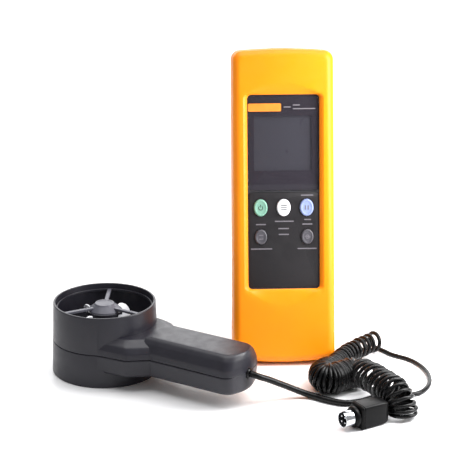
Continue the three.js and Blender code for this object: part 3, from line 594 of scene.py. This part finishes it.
def make_cord():
    """The cord as one round tube, resting on the table where its route meets it."""
    line = cord_line()
    data = bpy.data.curves.new("curly_cord", "CURVE")
    data.dimensions = "3D"
    spline = data.splines.new("POLY")
    spline.points.add(len(line) - 1)
    far = 0.0
    for i, (point, place) in enumerate(zip(spline.points, line)):
        far += (place - line[i - 1]).length if i else 0.0
        point.radius = between(far, LEAD_SWELL)
        place.z = max(place.z, WIRE / 2 * point.radius)
        point.co = (*place, 1.0)
    spline.use_smooth = True
    data.bevel_depth = WIRE / 2
    data.bevel_resolution = 4
    data.use_fill_caps = True
    data.materials.append(LOOKS["cord"])
    made = bpy.data.objects.new("curly_cord", data)
    bpy.context.scene.collection.objects.link(made)
    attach(made, "sensor")
    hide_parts("cord_lead", "cord_coil_upper", "cord_coil_lower", "cord_tail")
    length = sum((b - a).length for a, b in zip(line, line[1:]))
    return made, tuple(line[0]), length


CORD, CORD_EXIT, CORD_LENGTH = make_cord()
print("cord length", round(CORD_LENGTH, 4))


# ---------------------------------------------------------------- holster
SIDE_STEPS, CORNER_STEPS, END_STEPS = 26, 8, 18


def frame_ring(half, low, high, radius, bow_low=0.0, bow_high=0.0, y=0.0):
    """A rounded rectangle of points, its ends bowed outward; every such ring has matching points."""
    points = []
    inner = half - radius

    def corner(x, z, first):
        for i in range(CORNER_STEPS + 1):
            t = math.radians(first + 90 * i / CORNER_STEPS)
            points.append((x + radius * math.cos(t), y, z + radius * math.sin(t)))

    def side(x, start, end):
        for i in range(1, SIDE_STEPS):
            points.append((x, y, start + (end - start) * i / SIDE_STEPS))

    def end(z, start, stop, bow):
        for i in range(1, END_STEPS):
            x = start + (stop - start) * i / END_STEPS
            points.append((x, y, z + bow * (1 - (x / inner) ** 2)))

    side(half, low + radius, high - radius)
    corner(inner, high - radius, 0)
    end(high, inner, -inner, bow_high)
    corner(-inner, high - radius, 90)
    side(-half, high - radius, low + radius)
    corner(-inner, low + radius, 180)
    end(low, -inner, inner, -bow_low)
    corner(inner, low + radius, 270)
    return points


def mixed_ring(first, second, share, y):
    """The ring part of the way from the first to the second, at y."""
    return [(a[0] + (b[0] - a[0]) * share, y, a[2] + (b[2] - a[2]) * share) for a, b in zip(first, second)]


def boot_ring(inward, y):
    """The holster's own outline, drawn in by inward and narrowed towards the top."""
    corner = BOOT_CORNER - inward * 0.7
    ring = frame_ring(BOOT_HALF - inward, BOOT_LOW + inward, BOOT_HIGH - inward, corner, *BOOT_BOW, y)
    return [(px * (1 - BOOT_TAPER / BOOT_HALF * pz / BOOT_HIGH), py, pz) for px, py, pz in ring]


def round_edge(back=False):
    """The rings over the holster's front edge, from its side in, or over its back edge, out to its side."""
    rings = []
    for t in edge_steps(9):
        y = BOOT_ROUND * (1 - math.sin(t))
        rings.append(boot_ring(BOOT_ROUND * (1 - math.cos(t)), BOOT_DEPTH - y if back else y))
    return rings[::-1] if back else rings


def front_rings():
    """In from the front's rounded edge over the dished face to the lip round the opening."""
    rings = round_edge()
    face = rings[-1]
    dish = frame_ring(*DISH)
    opening = frame_ring(*OPENING)
    for k in range(1, 5):
        rings.append(mixed_ring(face, dish, k / 4.4, 0.0))
    for k in range(9):
        t = k / 8
        rings.append(mixed_ring(dish, opening, t * 0.97, DISH_DEPTH * (0.55 * t + 0.45 * t * t)))
    rings.append(mixed_ring(dish, opening, 1.0, DISH_DEPTH + 0.3))
    rings.append(frame_ring(*OPENING, y=LIP_Y))
    return rings


def inside_rings():
    """Round the pocket for the case, and out through the window in the back."""
    half, low, high, corner = BACK_WINDOW
    rings = [
        frame_ring(*POCKET, y=LIP_Y),
        frame_ring(*POCKET, y=CASE_BACK + 0.3),
        frame_ring(*BACK_WINDOW, y=CASE_BACK + 0.3),
    ]
    for wider, y in ((0.0, BOOT_DEPTH - 0.8), (0.3, BOOT_DEPTH - 0.2), (0.9, BOOT_DEPTH)):
        rings.append(frame_ring(half + wider, low - wider, high + wider, corner + wider, y=y))
    return rings


def back_rings(window):
    """From the window's edge over the flat back and its rounded edge, then forward along the sides."""
    back = boot_ring(BOOT_ROUND, BOOT_DEPTH)
    rings = []
    for k in range(1, 4):
        window = mixed_ring(window, back, k / 4, BOOT_DEPTH)
        rings.append(window)
    rings += round_edge(back=True)
    sides = [(30, 0), (BOOT_PARTING + 0.5, 0), (BOOT_PARTING + 0.25, -0.12)]
    sides += [(BOOT_PARTING - 0.25, -0.12), (BOOT_PARTING - 0.5, 0), (9, 0)]
    for y, inward in sides:
        rings.append(boot_ring(inward, y))
    return rings


def table_height(y):
    """How high the table's top lies in the meter's own frame, y back from its front face."""
    lean = math.radians(LEAN)
    return (y * math.sin(lean) - METER.translation.z / MM) / math.cos(lean)


def stand_lugs():
    """The two lugs on the back that hold the stand's pin."""
    eye = arc(*STAND_PIVOT, 3.2, 60, -90, 12)
    outline = [(37.0, 118.8), (37.0, 129.0), (40.6, 127.6), *eye, (40.6, 118.8)]
    lugs = []
    for x in LUG_X:
        lug = slab(outline[::-1], x, x + LUG_W, 0.6)
        lug.transform(Matrix(((0, 0, 1, 0), (1, 0, 0, 0), (0, 1, 0, 0), (0, 0, 0, 1))))
        lugs.append(lug)
    return lugs


def socket_mouth():
    """What is cut away above the socket: a round hole with an eased edge."""
    high = BOOT_HIGH + 2.2
    profile = [(0.5, 190, 0), (9, 190, 0), (9, BOOT_HIGH + 0.2, 1.2), (12, high, 0), (0.5, high, 0)]
    return moved(turned(softened(profile, False)), Matrix.Translation((0, SOCKET_Y, 0)))


def make_holster():
    """The rubber holster, flattened where it stands on the table."""
    rings = front_rings() + inside_rings()
    rings += back_rings(rings[-1])
    rings = [[(x, y, max(z, table_height(y))) for x, y, z in ring] for ring in rings]
    pin_hole = moved(rod(1.55, -40, 40), Matrix.Translation((0, *STAND_PIVOT)) @ ALONG_X)
    body = joined(mesh_of(loft(rings, closed=True)), *stand_lugs())
    whole = cut(body, socket_mouth(), pin_hole)
    piece("holster_rubber", whole, METER, "meter", "boot", ["holster"], 40)


make_holster()


# ---------------------------------------------------------------- face of the meter
def make_overlay():
    """The printed face sheet, with a hole round each key."""
    outline = rounded_rect((-PANEL_HALF, PANEL_HALF), (SHEET_LOW, SHEET_HIGH), 2.0)
    film = slab(outline, CASE_FRONT, CASE_FRONT + 0.6, 0.12, 2, True)
    holes = [sheet(oval(x, z, a + 0.3, b + 0.3), 0, 6) for x, z, a, b in BUTTONS.values()]
    piece("keypad_film", cut(film, *holes), METER, "meter", "panel", ["keypad_overlay"])


def make_lens():
    """The smoked lens, and behind it the print that leaves the display clear, with a lighter strip along its
    lower edge that is a painted reflection of the light on the lens's bevelled edge.
    """
    outline = rounded_rect((-PANEL_HALF, PANEL_HALF), (LENS_LOW, LENS_HIGH), 2.0)
    lens = slab(outline, CASE_FRONT, CASE_FRONT + 1.2, 0.3, 4, True)
    piece("smoked_lens", lens, METER, "meter", "lens", ["display_lens"])
    back = CASE_FRONT + 1.2
    clear = sheet(rounded_rect((-18.4, 18.1), (122.0, 156.3), 0.8), 4, 5)
    film = cut(sheet(inset(outline, 0.2), back + 0.1, back + 0.16), clear)
    piece("lens_print", film, METER, "meter", "print_back")
    # painted reflection: a lighter strip along the lens's lower edge, standing for the light caught on its
    # bevel
    low_edge = rounded_rect((-PANEL_HALF + 0.2, PANEL_HALF - 0.2), (LENS_LOW + 0.2, 113.2), 0.6)
    strip = sheet(low_edge, back + 0.02, back + 0.07)
    piece("lens_painted_reflection_band", strip, METER, "meter", "painted_reflection_band")


# a key's section, from its flange forward and in over its raised ring: how far in, and y
KEY_SECTION = [
    (0.0, 5.5), (0.0, 2.6), (0.12, 2.2), (0.4, 1.92),
    (0.8, 1.8), (1.15, 1.84), (1.4, 1.98), (1.6, 2.02),
]
KEY_MIDDLE = [(0.42, 2.06), (0.2, 2.04), (0.05, 2.02)]
KEY_FLANGE, KEY_STEM, KEY_MARK_Y = 1.2, 2.0, 1.98


def make_button(key, look):
    """A key: a rounded oval cap with a raised ring, on a wider flange with a stem."""
    x, z, a, b = BUTTONS[key]
    flange = (a + KEY_FLANGE, b + KEY_FLANGE)
    levels = [(KEY_STEM, KEY_STEM, 7.6), (KEY_STEM, KEY_STEM, 6.5), (*flange, 6.5), (*flange, 5.5)]
    levels += [(a - inward, b - inward, y) for inward, y in KEY_SECTION]
    levels += [(a * share, b * share, y) for share, y in KEY_MIDDLE]
    rings = [[(px, y, pz) for px, pz in oval(x, z, rx, rz)] for rx, rz, y in levels]
    body = f"{key}_button"
    piece(f"{key}_key", mesh_of(loft(rings)), METER, body, look, [body], 50)


def mark(outline):
    """A printed mark, a hair thick."""
    return sheet(outline, 0, 0.06)


def bar(cx, cz, width, height):
    """A printed bar with rounded ends."""
    across = (cx - width / 2, cx + width / 2)
    up = (cz - height / 2, cz + height / 2)
    return mark(rounded_rect(across, up, min(width, height) * 0.45, 3))


def band(cx, cz, outer, inner, first, last):
    """Part of a ring."""
    outline = arc(cx, cz, outer, first, last, 24) + arc(cx, cz, inner, last, first, 24)
    return mark(outline)


# the bars that stand for words on the face: middle across and up, and width
FACE_BARS = [
    (2.5, 162.0, 4.6), (8.3, 163.2, 4.6), (13.1, 160.9, 14.2), (14.8, 106.5, 7.8), (15.1, 91.1, 4.4),
    (14.9, 88.2, 6.5), (-14.4, 88.2, 6.3), (0.4, 90.1, 11.9), (-0.1, 85.5, 6.7), (0.0, 81.8, 6.5),
    (-14.1, 72.7, 13.6), (14.7, 72.7, 12.1),
]


def key_marks(key, x, z):
    """The simple symbol on a key."""
    if key == "power":
        return [band(x, z, 1.5, 1.1, 125, 415), bar(x, z + 1.2, 0.42, 1.8)]
    if key == "function":
        return [bar(x, z + k, 4.0, 0.55) for k in (-1.3, 0, 1.3)]
    if key == "hold":
        return [bar(x + k, z, 0.75, 3.0) for k in (-0.9, 0.9)]
    if key == "min_max":
        return [bar(x, z + k, 2.8, 0.6) for k in (-1.2, 1.2)]
    return [band(x, z, 1.3, 0.85, 0, 359.9), bar(x, z, 3.8, 0.5)]


def make_marks():
    """The plain bars and stripe on the face, and the keys' symbols."""
    face = Matrix.Translation((0, CASE_FRONT - 0.05, 0))
    bars = [moved(bar(x, z, width, 0.75), face) for x, z, width in FACE_BARS]
    piece("face_marks", merged(*bars), METER, "meter", "ink_pale")
    stripe = sheet(rounded_rect((-22.0, -1.3), (159.3, 164.3), 0.8), CASE_FRONT - 0.06, CASE_FRONT)
    piece("face_stripe", stripe, METER, "meter", "ink_orange")
    for key, (x, z, _, _) in BUTTONS.items():
        look = "ink_dark" if key in ("power", "function") else "ink_pale"
        parts = [moved(part, Matrix.Translation((0, KEY_MARK_Y, 0))) for part in key_marks(key, x, z)]
        piece(f"{key}_mark", merged(*parts), METER, f"{key}_button", look)


make_overlay()
make_lens()
for button, colour in zip(BUTTONS, ("green", "white", "violet", "grey", "grey")):
    make_button(button, colour)
make_marks()


# ---------------------------------------------------------------- sensor
def neck_plan(inward, wall=0.0):
    """The neck's plan outline, anticlockwise from its near side."""
    inward += wall
    end = inward * 0.55
    far = [(8.0, 30.2 - inward, 0.0), (34.8 - end, 27.4 - inward, 2.0), (47.2 - end, 18.0 - inward, 1.5)]
    near = [(x, -y, r) for x, y, r in far]
    return softened(near + far[::-1])


def handle_plan(inward, wall=0.0):
    """The handle's plan outline, its end bulging a little."""
    y = HANDLE_HALF - inward - wall
    x = HANDLE_END - inward * 0.3 - wall
    corners = [(40.0, -y, 0.0), (x - 4.0, -y, 5.5), (x + 1.4, 0.0, 13.0), (x - 4.0, y, 5.5), (40.0, y, 0.0)]
    return softened(corners, True, 8)


def form(plan, profile):
    """A solid through a plan outline at (height, inward) levels, the levels' corners rounded."""
    levels = softened(profile, False)
    return mesh_of(loft([[(x, y, z) for x, y in plan(inward)] for z, inward in levels]))


def drum_ring(z0, z1, low_edge, high_edge):
    """Part of the drum's wall, which narrows a little towards its top."""
    low, high = (DRUM_LOW_R + (DRUM_HIGH_R - DRUM_LOW_R) * z / DRUM_H for z in (z0, z1))
    profile = softened([(BORE_R, z0, 0.2), (low, z0, low_edge), (high, z1, high_edge), (BORE_R, z1, 0.3)])
    return turned(profile, 192, closed=True)


def inner(plan, levels):
    """The hollow inside the neck or handle, which stops at the drum."""
    made = mesh_of(loft([[(x, y, z) for x, y in plan(inward, SENSOR_WALL)] for z, inward in levels]))
    return cut(made, rod(DRUM_LOW_R + 0.6, -1, DRUM_H + 1, 192))


SENSOR_SCREWS = ((50.0, -9.5), (50.0, 9.5), (92.0, 0.0))


def at_screws(radius, low, high):
    """A rod at each of the sensor's screws."""
    made = []
    for x, y in SENSOR_SCREWS:
        made.append(moved(rod(radius, low, high), Matrix.Translation((x, y, 0))))
    return made


def part_of_sensor(name, mesh, look, stands_for, sharp):
    """A finished piece that belongs to the sensor's body."""
    return piece(name, mesh, SENSOR, "sensor", look, [stands_for], sharp)


def drum_room():
    """Keeps the neck out of the bore: it ends inside the drum's wall."""
    return rod(BORE_R + 0.7, -1, DRUM_H + 1, 192)


def make_upper_shell():
    """The upper half of the drum, neck and handle, hollow, with its screw posts."""
    z = SPLIT_Z + 0.15
    edge = [(z, 0.4, 0), (z + 0.4, 0.0, 0.3)]
    neck = [(25.5, 0.5, 0.5), (29.0, 2.6, 1.0), (32.2, 7.4, 0.6), (32.4, 8.6, 0)]
    handle = [(26.0, 0.6, 0.8), (30.5, 2.8, 0.8), (33.0, 5.0, 1.0), (33.9, 6.8, 0.7), (34.0, 9.0, 0)]
    shell = cut(
        joined(form(neck_plan, edge + neck), form(handle_plan, edge + handle)),
        inner(neck_plan, [(z - 1, 0.0), (23.5, 0.5), (27.0, 2.6), (30.4, 8.0)]),
        inner(handle_plan, [(z - 1, 0.0), (24.0, 0.6), (28.5, 2.8), (31.0, 5.0), (32.0, 6.8)]),
        drum_room(),
    )
    shell = joined(shell, drum_ring(z, DRUM_H, 0.5, 0.7))
    shell = joined(shell, *at_screws(3.0, z, 32.3))
    shell = cut(shell, *at_screws(1.4, z - 1, 29.6), cord_hole())
    part_of_sensor("sensor_shell_upper", shell, "sensor", "sensor_upper_shell", 28)


def make_lower_shell():
    """The lower half, with the screws' holes and the recesses for their heads."""
    z = SPLIT_Z - 0.15
    levels = [(9.6, 3.6, 0), (9.8, 2.4, 0.4), (11.4, 0.8, 0.8), (z - 0.4, 0.0, 0.3), (z, 0.4, 0)]
    hollow = [(11.6, 2.4), (13.4, 0.8), (z + 1, 0.0)]
    core = joined(form(neck_plan, levels), form(handle_plan, levels))
    core = cut(core, inner(neck_plan, hollow), inner(handle_plan, hollow), drum_room())
    shell = joined(core, drum_ring(0, z, 0.7, 0.5))
    shell = joined(shell, *at_screws(3.6, 11, z))
    shell = cut(shell, *at_screws(1.4, 8, z + 1), *at_screws(2.8, 8, 13.4), cord_hole())
    part_of_sensor("sensor_shell_lower", shell, "sensor", "sensor_lower_shell", 28)


def cord_hole():
    """Where the cord's gland sits in the end of the handle."""
    return moved(rod(3.5, HANDLE_END - 7, HANDLE_END + 2), Matrix.Translation((0, 0, CORD_Z)) @ ALONG_X)


def arm(inner_r, outer_r, width, z0, z1, turn):
    """A straight arm with rounded long edges, from the hub to the ring."""
    half = width / 2
    section = softened([(-half, z0, 0.5), (half, z0, 0.5), (half, z1, 0.6), (-half, z1, 0.6)], True, 3)
    rings = [[(x, y, z) for y, z in section] for x in (inner_r, outer_r)]
    return moved(mesh_of(loft(rings)), Matrix.Rotation(math.radians(turn), 4, "Z"))


def paint_shade(made, chosen):
    """Painted shade: the dark sensor plastic put on the faces chosen by their distance from the drum's axis
    and their height.
    """
    made.data.materials.append(LOOKS["sensor"])
    back = SENSOR.inverted()
    for polygon in made.data.polygons:
        place = back @ polygon.center / MM
        if chosen(math.hypot(place.x, place.y), place.z):
            polygon.material_index = 1


def spider(z0, z1, inner_r, outer_r, hub):
    """A hub with three arms and the thin ring at their ends."""
    section = [(outer_r - 1.1, z0, 0.3), (outer_r, z0, 0.3), (outer_r, z1, 0.3), (outer_r - 1.1, z1, 0.3)]
    ring = turned(softened(section), 128, True)
    arms = [arm(inner_r, outer_r - 0.5, 2.6, z0, z1, ARM_TURN + 120 * i) for i in range(3)]
    return joined(hub, *arms, ring)


# the hubs' sections: radius, height and how much the corner is rounded
FRONT_HUB = [
    (0.02, 39.8, 0), (2.9, 39.8, 0), (2.9, 36.8, 0.2), (4.0, 36.8, 0.2), (4.0, 39.8, 0.2), (9.4, 39.0, 0.3),
    (9.4, 34.8, 0.3), (11.0, 34.8, 0.4), (11.0, 39.3, 0.3), (10.2, 39.5, 0.1), (10.1, 40.1, 0.2),
    (6.4, 43.2, 0.3), (5.9, 43.95, 0.3), (4.9, 43.95, 0.2), (4.6, 43.7, 0.2), (0.02, 43.7, 0),
]
REAR_HUB = [
    (0.02, 2.6, 0), (5.0, 2.6, 0.4), (7.0, 4.0, 0.4), (7.0, 9.6, 0.5),
    (2.9, 9.6, 0.2), (2.9, 6.8, 0), (0.02, 6.8, 0),
]


def make_bridges():
    """The hub cap over the vane wheel, its skirt painted dark as shade and its outer ring made dark too, and
    the spider below the wheel.
    """
    ring_r = BORE_R - 0.3
    front = spider(40.6, 42.2, 8.0, ring_r, turned(softened(FRONT_HUB, False), 96))
    bridge = part_of_sensor("bridge_front", front, "bridge", "front_bridge", 32)
    # painted shade: the hub's skirt, which lies in shadow under the cap, gets the dark sensor plastic, and so
    # does the ring by the bore's wall
    paint_shade(bridge, lambda radius, z: radius > BORE_R - 1.5 or (z < 39.5 and radius > 9.0))
    rear = spider(4.0, 5.6, 5.5, ring_r, turned(softened(REAR_HUB, False), 64))
    part_of_sensor("bridge_rear", rear, "bridge", "rear_bridge", 32)


def blade(turn):
    """A paddle with a slight camber, narrow at its root and round at its tip."""
    near = [(3.5, -2.6), (11.0, -5.0), (BLADE_TIP, -BLADE_HALF)]
    far = [(x, -y) for x, y in reversed(near)]
    outline = near + arc(BLADE_TIP, 0, BLADE_HALF, -80, 80, 20) + far
    rings = []
    for height, inward in ((-0.55, 0.35), (-0.35, 0.0), (0.35, 0.0), (0.55, 0.35)):
        drawn = inset(outline, inward) if inward else outline
        rings.append([(x, y, height + 0.012 * y * y - 0.25) for x, y in drawn])
    mesh = mesh_of(loft(rings))
    mesh.transform(Matrix.Rotation(math.radians(BLADE_PITCH), 4, "X"))
    mesh.transform(Matrix.Translation((0, 0, BLADE_Z)))
    mesh.transform(Matrix.Rotation(math.radians(turn), 4, "Z"))
    return mesh


def make_impeller():
    """The vane wheel: its hub and blades, cleared under the hub cap and bored for the shaft."""
    section = [(1.25, 27.4, 0.1), (5.2, 27.4, 0.6), (5.2, 34.2, 0.4), (1.25, 34.2, 0.1)]
    hub = turned(softened(section), 64, True)
    wheel = joined(hub, *[blade(BLADE_TURN + 360 / BLADES * i) for i in range(BLADES)])
    wheel = cut(wheel, rod(11.8, 34.3, 60, 64), rod(1.25, 10, 60, 32))
    piece("vane_wheel", wheel, SENSOR, "rotor", "vane", ["impeller"], 35)


def make_grommet():
    """The gland round the cord: a flange inside the handle's end and a short neck through it."""
    flange, neck, end = HANDLE_END - 5.2, HANDLE_END - 3.2, HANDLE_END + 0.4
    section = [
        (0.02, flange, 0), (4.4, flange, 0.3), (4.4, neck, 0.3), (3.2, neck, 0),
        (3.2, end, 0.4), (2.4, end + 0.7, 0.3), (0.02, end + 0.7, 0),
    ]
    gland = moved(turned(softened(section, False), 48), Matrix.Translation((0, 0, CORD_Z)) @ ALONG_X)
    part_of_sensor("cord_gland", gland, "cord", "cord_grommet", 35)


make_upper_shell()
make_lower_shell()
make_bridges()
make_impeller()
make_grommet()


# ---------------------------------------------------------------- plug
# the plug's sections: along its length and inward for the housing, radius and length for the turned pieces
HOUSING = [
    (-12.0, 2.2), (-11.8, 1.5), (-11.2, 0.9), (-9.6, 0.4), (-6.5, 0.0), (5.6, 0.0), (5.9, 0.25),
    (6.3, 0.25), (6.6, 0.0), (7.3, 0.15), (7.8, 0.6), (8.0, 1.2),
]
COLLAR = [(2.0, 8.3, 0), (5.6, 8.3, 0.3), (6.3, 8.9, 0.4), (6.3, 10.7, 0.5), (5.5, 11.3, 0.3), (2.0, 11.3, 0)]
SLEEVE = [(4.3, 11.6, 0.1), (4.75, 11.6, 0.1), (4.75, 18.0, 0.2), (4.3, 18.0, 0.15)]


def part_of_plug(name, mesh, look, stands_for):
    """A finished piece of the plug, which moves with the sensor."""
    return piece(name, mesh, PLUG, "sensor", look, [stands_for], 30)


def make_plug():
    """The plug's housing, the collar on its front and the notched metal sleeve."""
    def housing_ring(x, inward):
        outline = rounded_rect((-6.2 + inward, 6.2 - inward), (-7.2 + inward, 7.2 - inward), 1.5, 5)
        return [(x, y, z) for y, z in outline]

    housing = mesh_of(loft([housing_ring(x, inward) for x, inward in HOUSING]))
    collar = moved(turned(softened(COLLAR), 96, True), ALONG_X)
    sleeve = moved(turned(softened(SLEEVE), 96, True), ALONG_X)
    notch = slab([(15.2, -0.9), (19, -0.9), (19, 0.9), (15.2, 0.9)], 3.0, 6.0, 0)
    return [
        part_of_plug("plug_housing", housing, "plug", "plug_body"),
        part_of_plug("plug_ring", collar, "plug", "plug_collar"),
        part_of_plug("plug_sleeve", cut(sleeve, notch), "chrome", "plug_shell"),
    ]


PLUG_PIECES = make_plug()


# ---------------------------------------------------------------- CAD nodes that stay
PLUG_PINS = tuple(f"plug_pin_{i}" for i in range(1, 5))
CASE_SCREWS = tuple(f"case_screw_{i}" for i in range(1, 5))
SENSOR_SCREW_NODES = tuple(f"sensor_screw_{i}" for i in range(1, 4))
EASED = ("front_shell", "rear_shell", "battery_door", "tilt_stand", "lcd_frame", "battery", "battery_snap")
KEPT = {
    "case": ("front_shell", "rear_shell", "battery_door", "tilt_stand"),
    "panel": ("lcd_frame",),
    "lcd": ("lcd_glass",),
    "mat": ("keypad_mat",),
    "board": ("main_board", "pickup_board", "handle_board"),
    "battery": ("battery",),
    "plug": ("battery_snap", "sensor_socket", "plug_insert"),
    "steel": ("stand_pin", "rotor_shaft", *CASE_SCREWS, *SENSOR_SCREW_NODES),
    "bronze": ("upper_bearing", "lower_bearing"),
    "magnet": ("rotor_magnet",),
    "chrome": PLUG_PINS,
}


def dress_kept_nodes():
    """Gives each CAD node that stays its material, and eases the edges of the larger ones."""
    for look, names in KEPT.items():
        for name in names:
            node = frame["nodes"][name]
            node.data.materials.clear()
            node.data.materials.append(LOOKS[look])
            weld = node.modifiers.new("weld", "WELD")
            weld.merge_threshold = 0.00001
            if name in EASED:
                flat = node.modifiers.new("flat", "DECIMATE")
                flat.decimate_type = "DISSOLVE"
                flat.angle_limit = math.radians(1)
                bevel = node.modifiers.new("edges", "BEVEL")
                bevel.width = 0.0003
                bevel.segments = 2
                bevel.angle_limit = math.radians(35)


dress_kept_nodes()


# ---------------------------------------------------------------- floor and light
def make_floor():
    """A pale sweep: flat under the object and curving up behind it."""
    start, bend, half = 1.2, 0.8, 4.0
    line = [(-3.0, 0.0), (start, 0.0)]
    line += [(start + bend * math.sin(t), bend * (1 - math.cos(t))) for t in edge_steps(16)[1:]]
    line.append((start + bend, 3.0))
    points = [(x, y, z) for y, z in line for x in (-half, half)]
    faces = [(2 * i, 2 * i + 1, 2 * i + 3, 2 * i + 2) for i in range(len(line) - 1)]
    mesh = bpy.data.meshes.new("floor")
    mesh.from_pydata(points, [], faces)
    mesh.polygons.foreach_set("use_smooth", [True] * len(mesh.polygons))
    look = Look("floor_sweep", (246, 246, 247), 0.35)
    look.drift((242, 242, 244), 300, 0.5).sheenful(0.3, 0.42, 40)
    mesh.materials.append(look.material)
    floor = bpy.data.objects.new("floor", mesh)
    bpy.context.scene.collection.objects.link(floor)


def lamp(name, place, aim, size, power):
    """A soft box at a place, turned towards aim, in metres and watts."""
    data = bpy.data.lights.new(name, "AREA")
    data.shape = "RECTANGLE"
    data.size, data.size_y = size
    data.energy = power
    made = bpy.data.objects.new(name, data)
    made.location = place
    made.rotation_euler = (Vector(aim) - Vector(place)).to_track_quat("-Z", "Y").to_euler()
    made.visible_camera = False
    bpy.context.scene.collection.objects.link(made)


def make_light():
    """A pale studio: an even surround, a strip at the right, a box above and a wide panel behind."""
    world = bpy.data.worlds.new("studio")
    bpy.context.scene.world = world
    world.use_nodes = True
    sky = world.node_tree.nodes["Background"]
    sky.inputs["Color"].default_value = (1, 1, 1, 1)
    sky.inputs["Strength"].default_value = 0.4
    lamp("key_right", (0.215, -0.06, 0.17), (0.06, 0.0, 0.09), (0.10, 0.24), 1.1)
    lamp("top", (0.0, 0.0, 1.2), (0.0, 0.0, 0.0), (1.2, 1.0), 13)
    lamp("panel_behind", (0.0, 1.3, 0.7), (0.0, 0.0, 0.05), (2.2, 0.85), 16)
    bpy.context.scene.view_settings.view_transform = "Standard"


make_floor()
make_light()
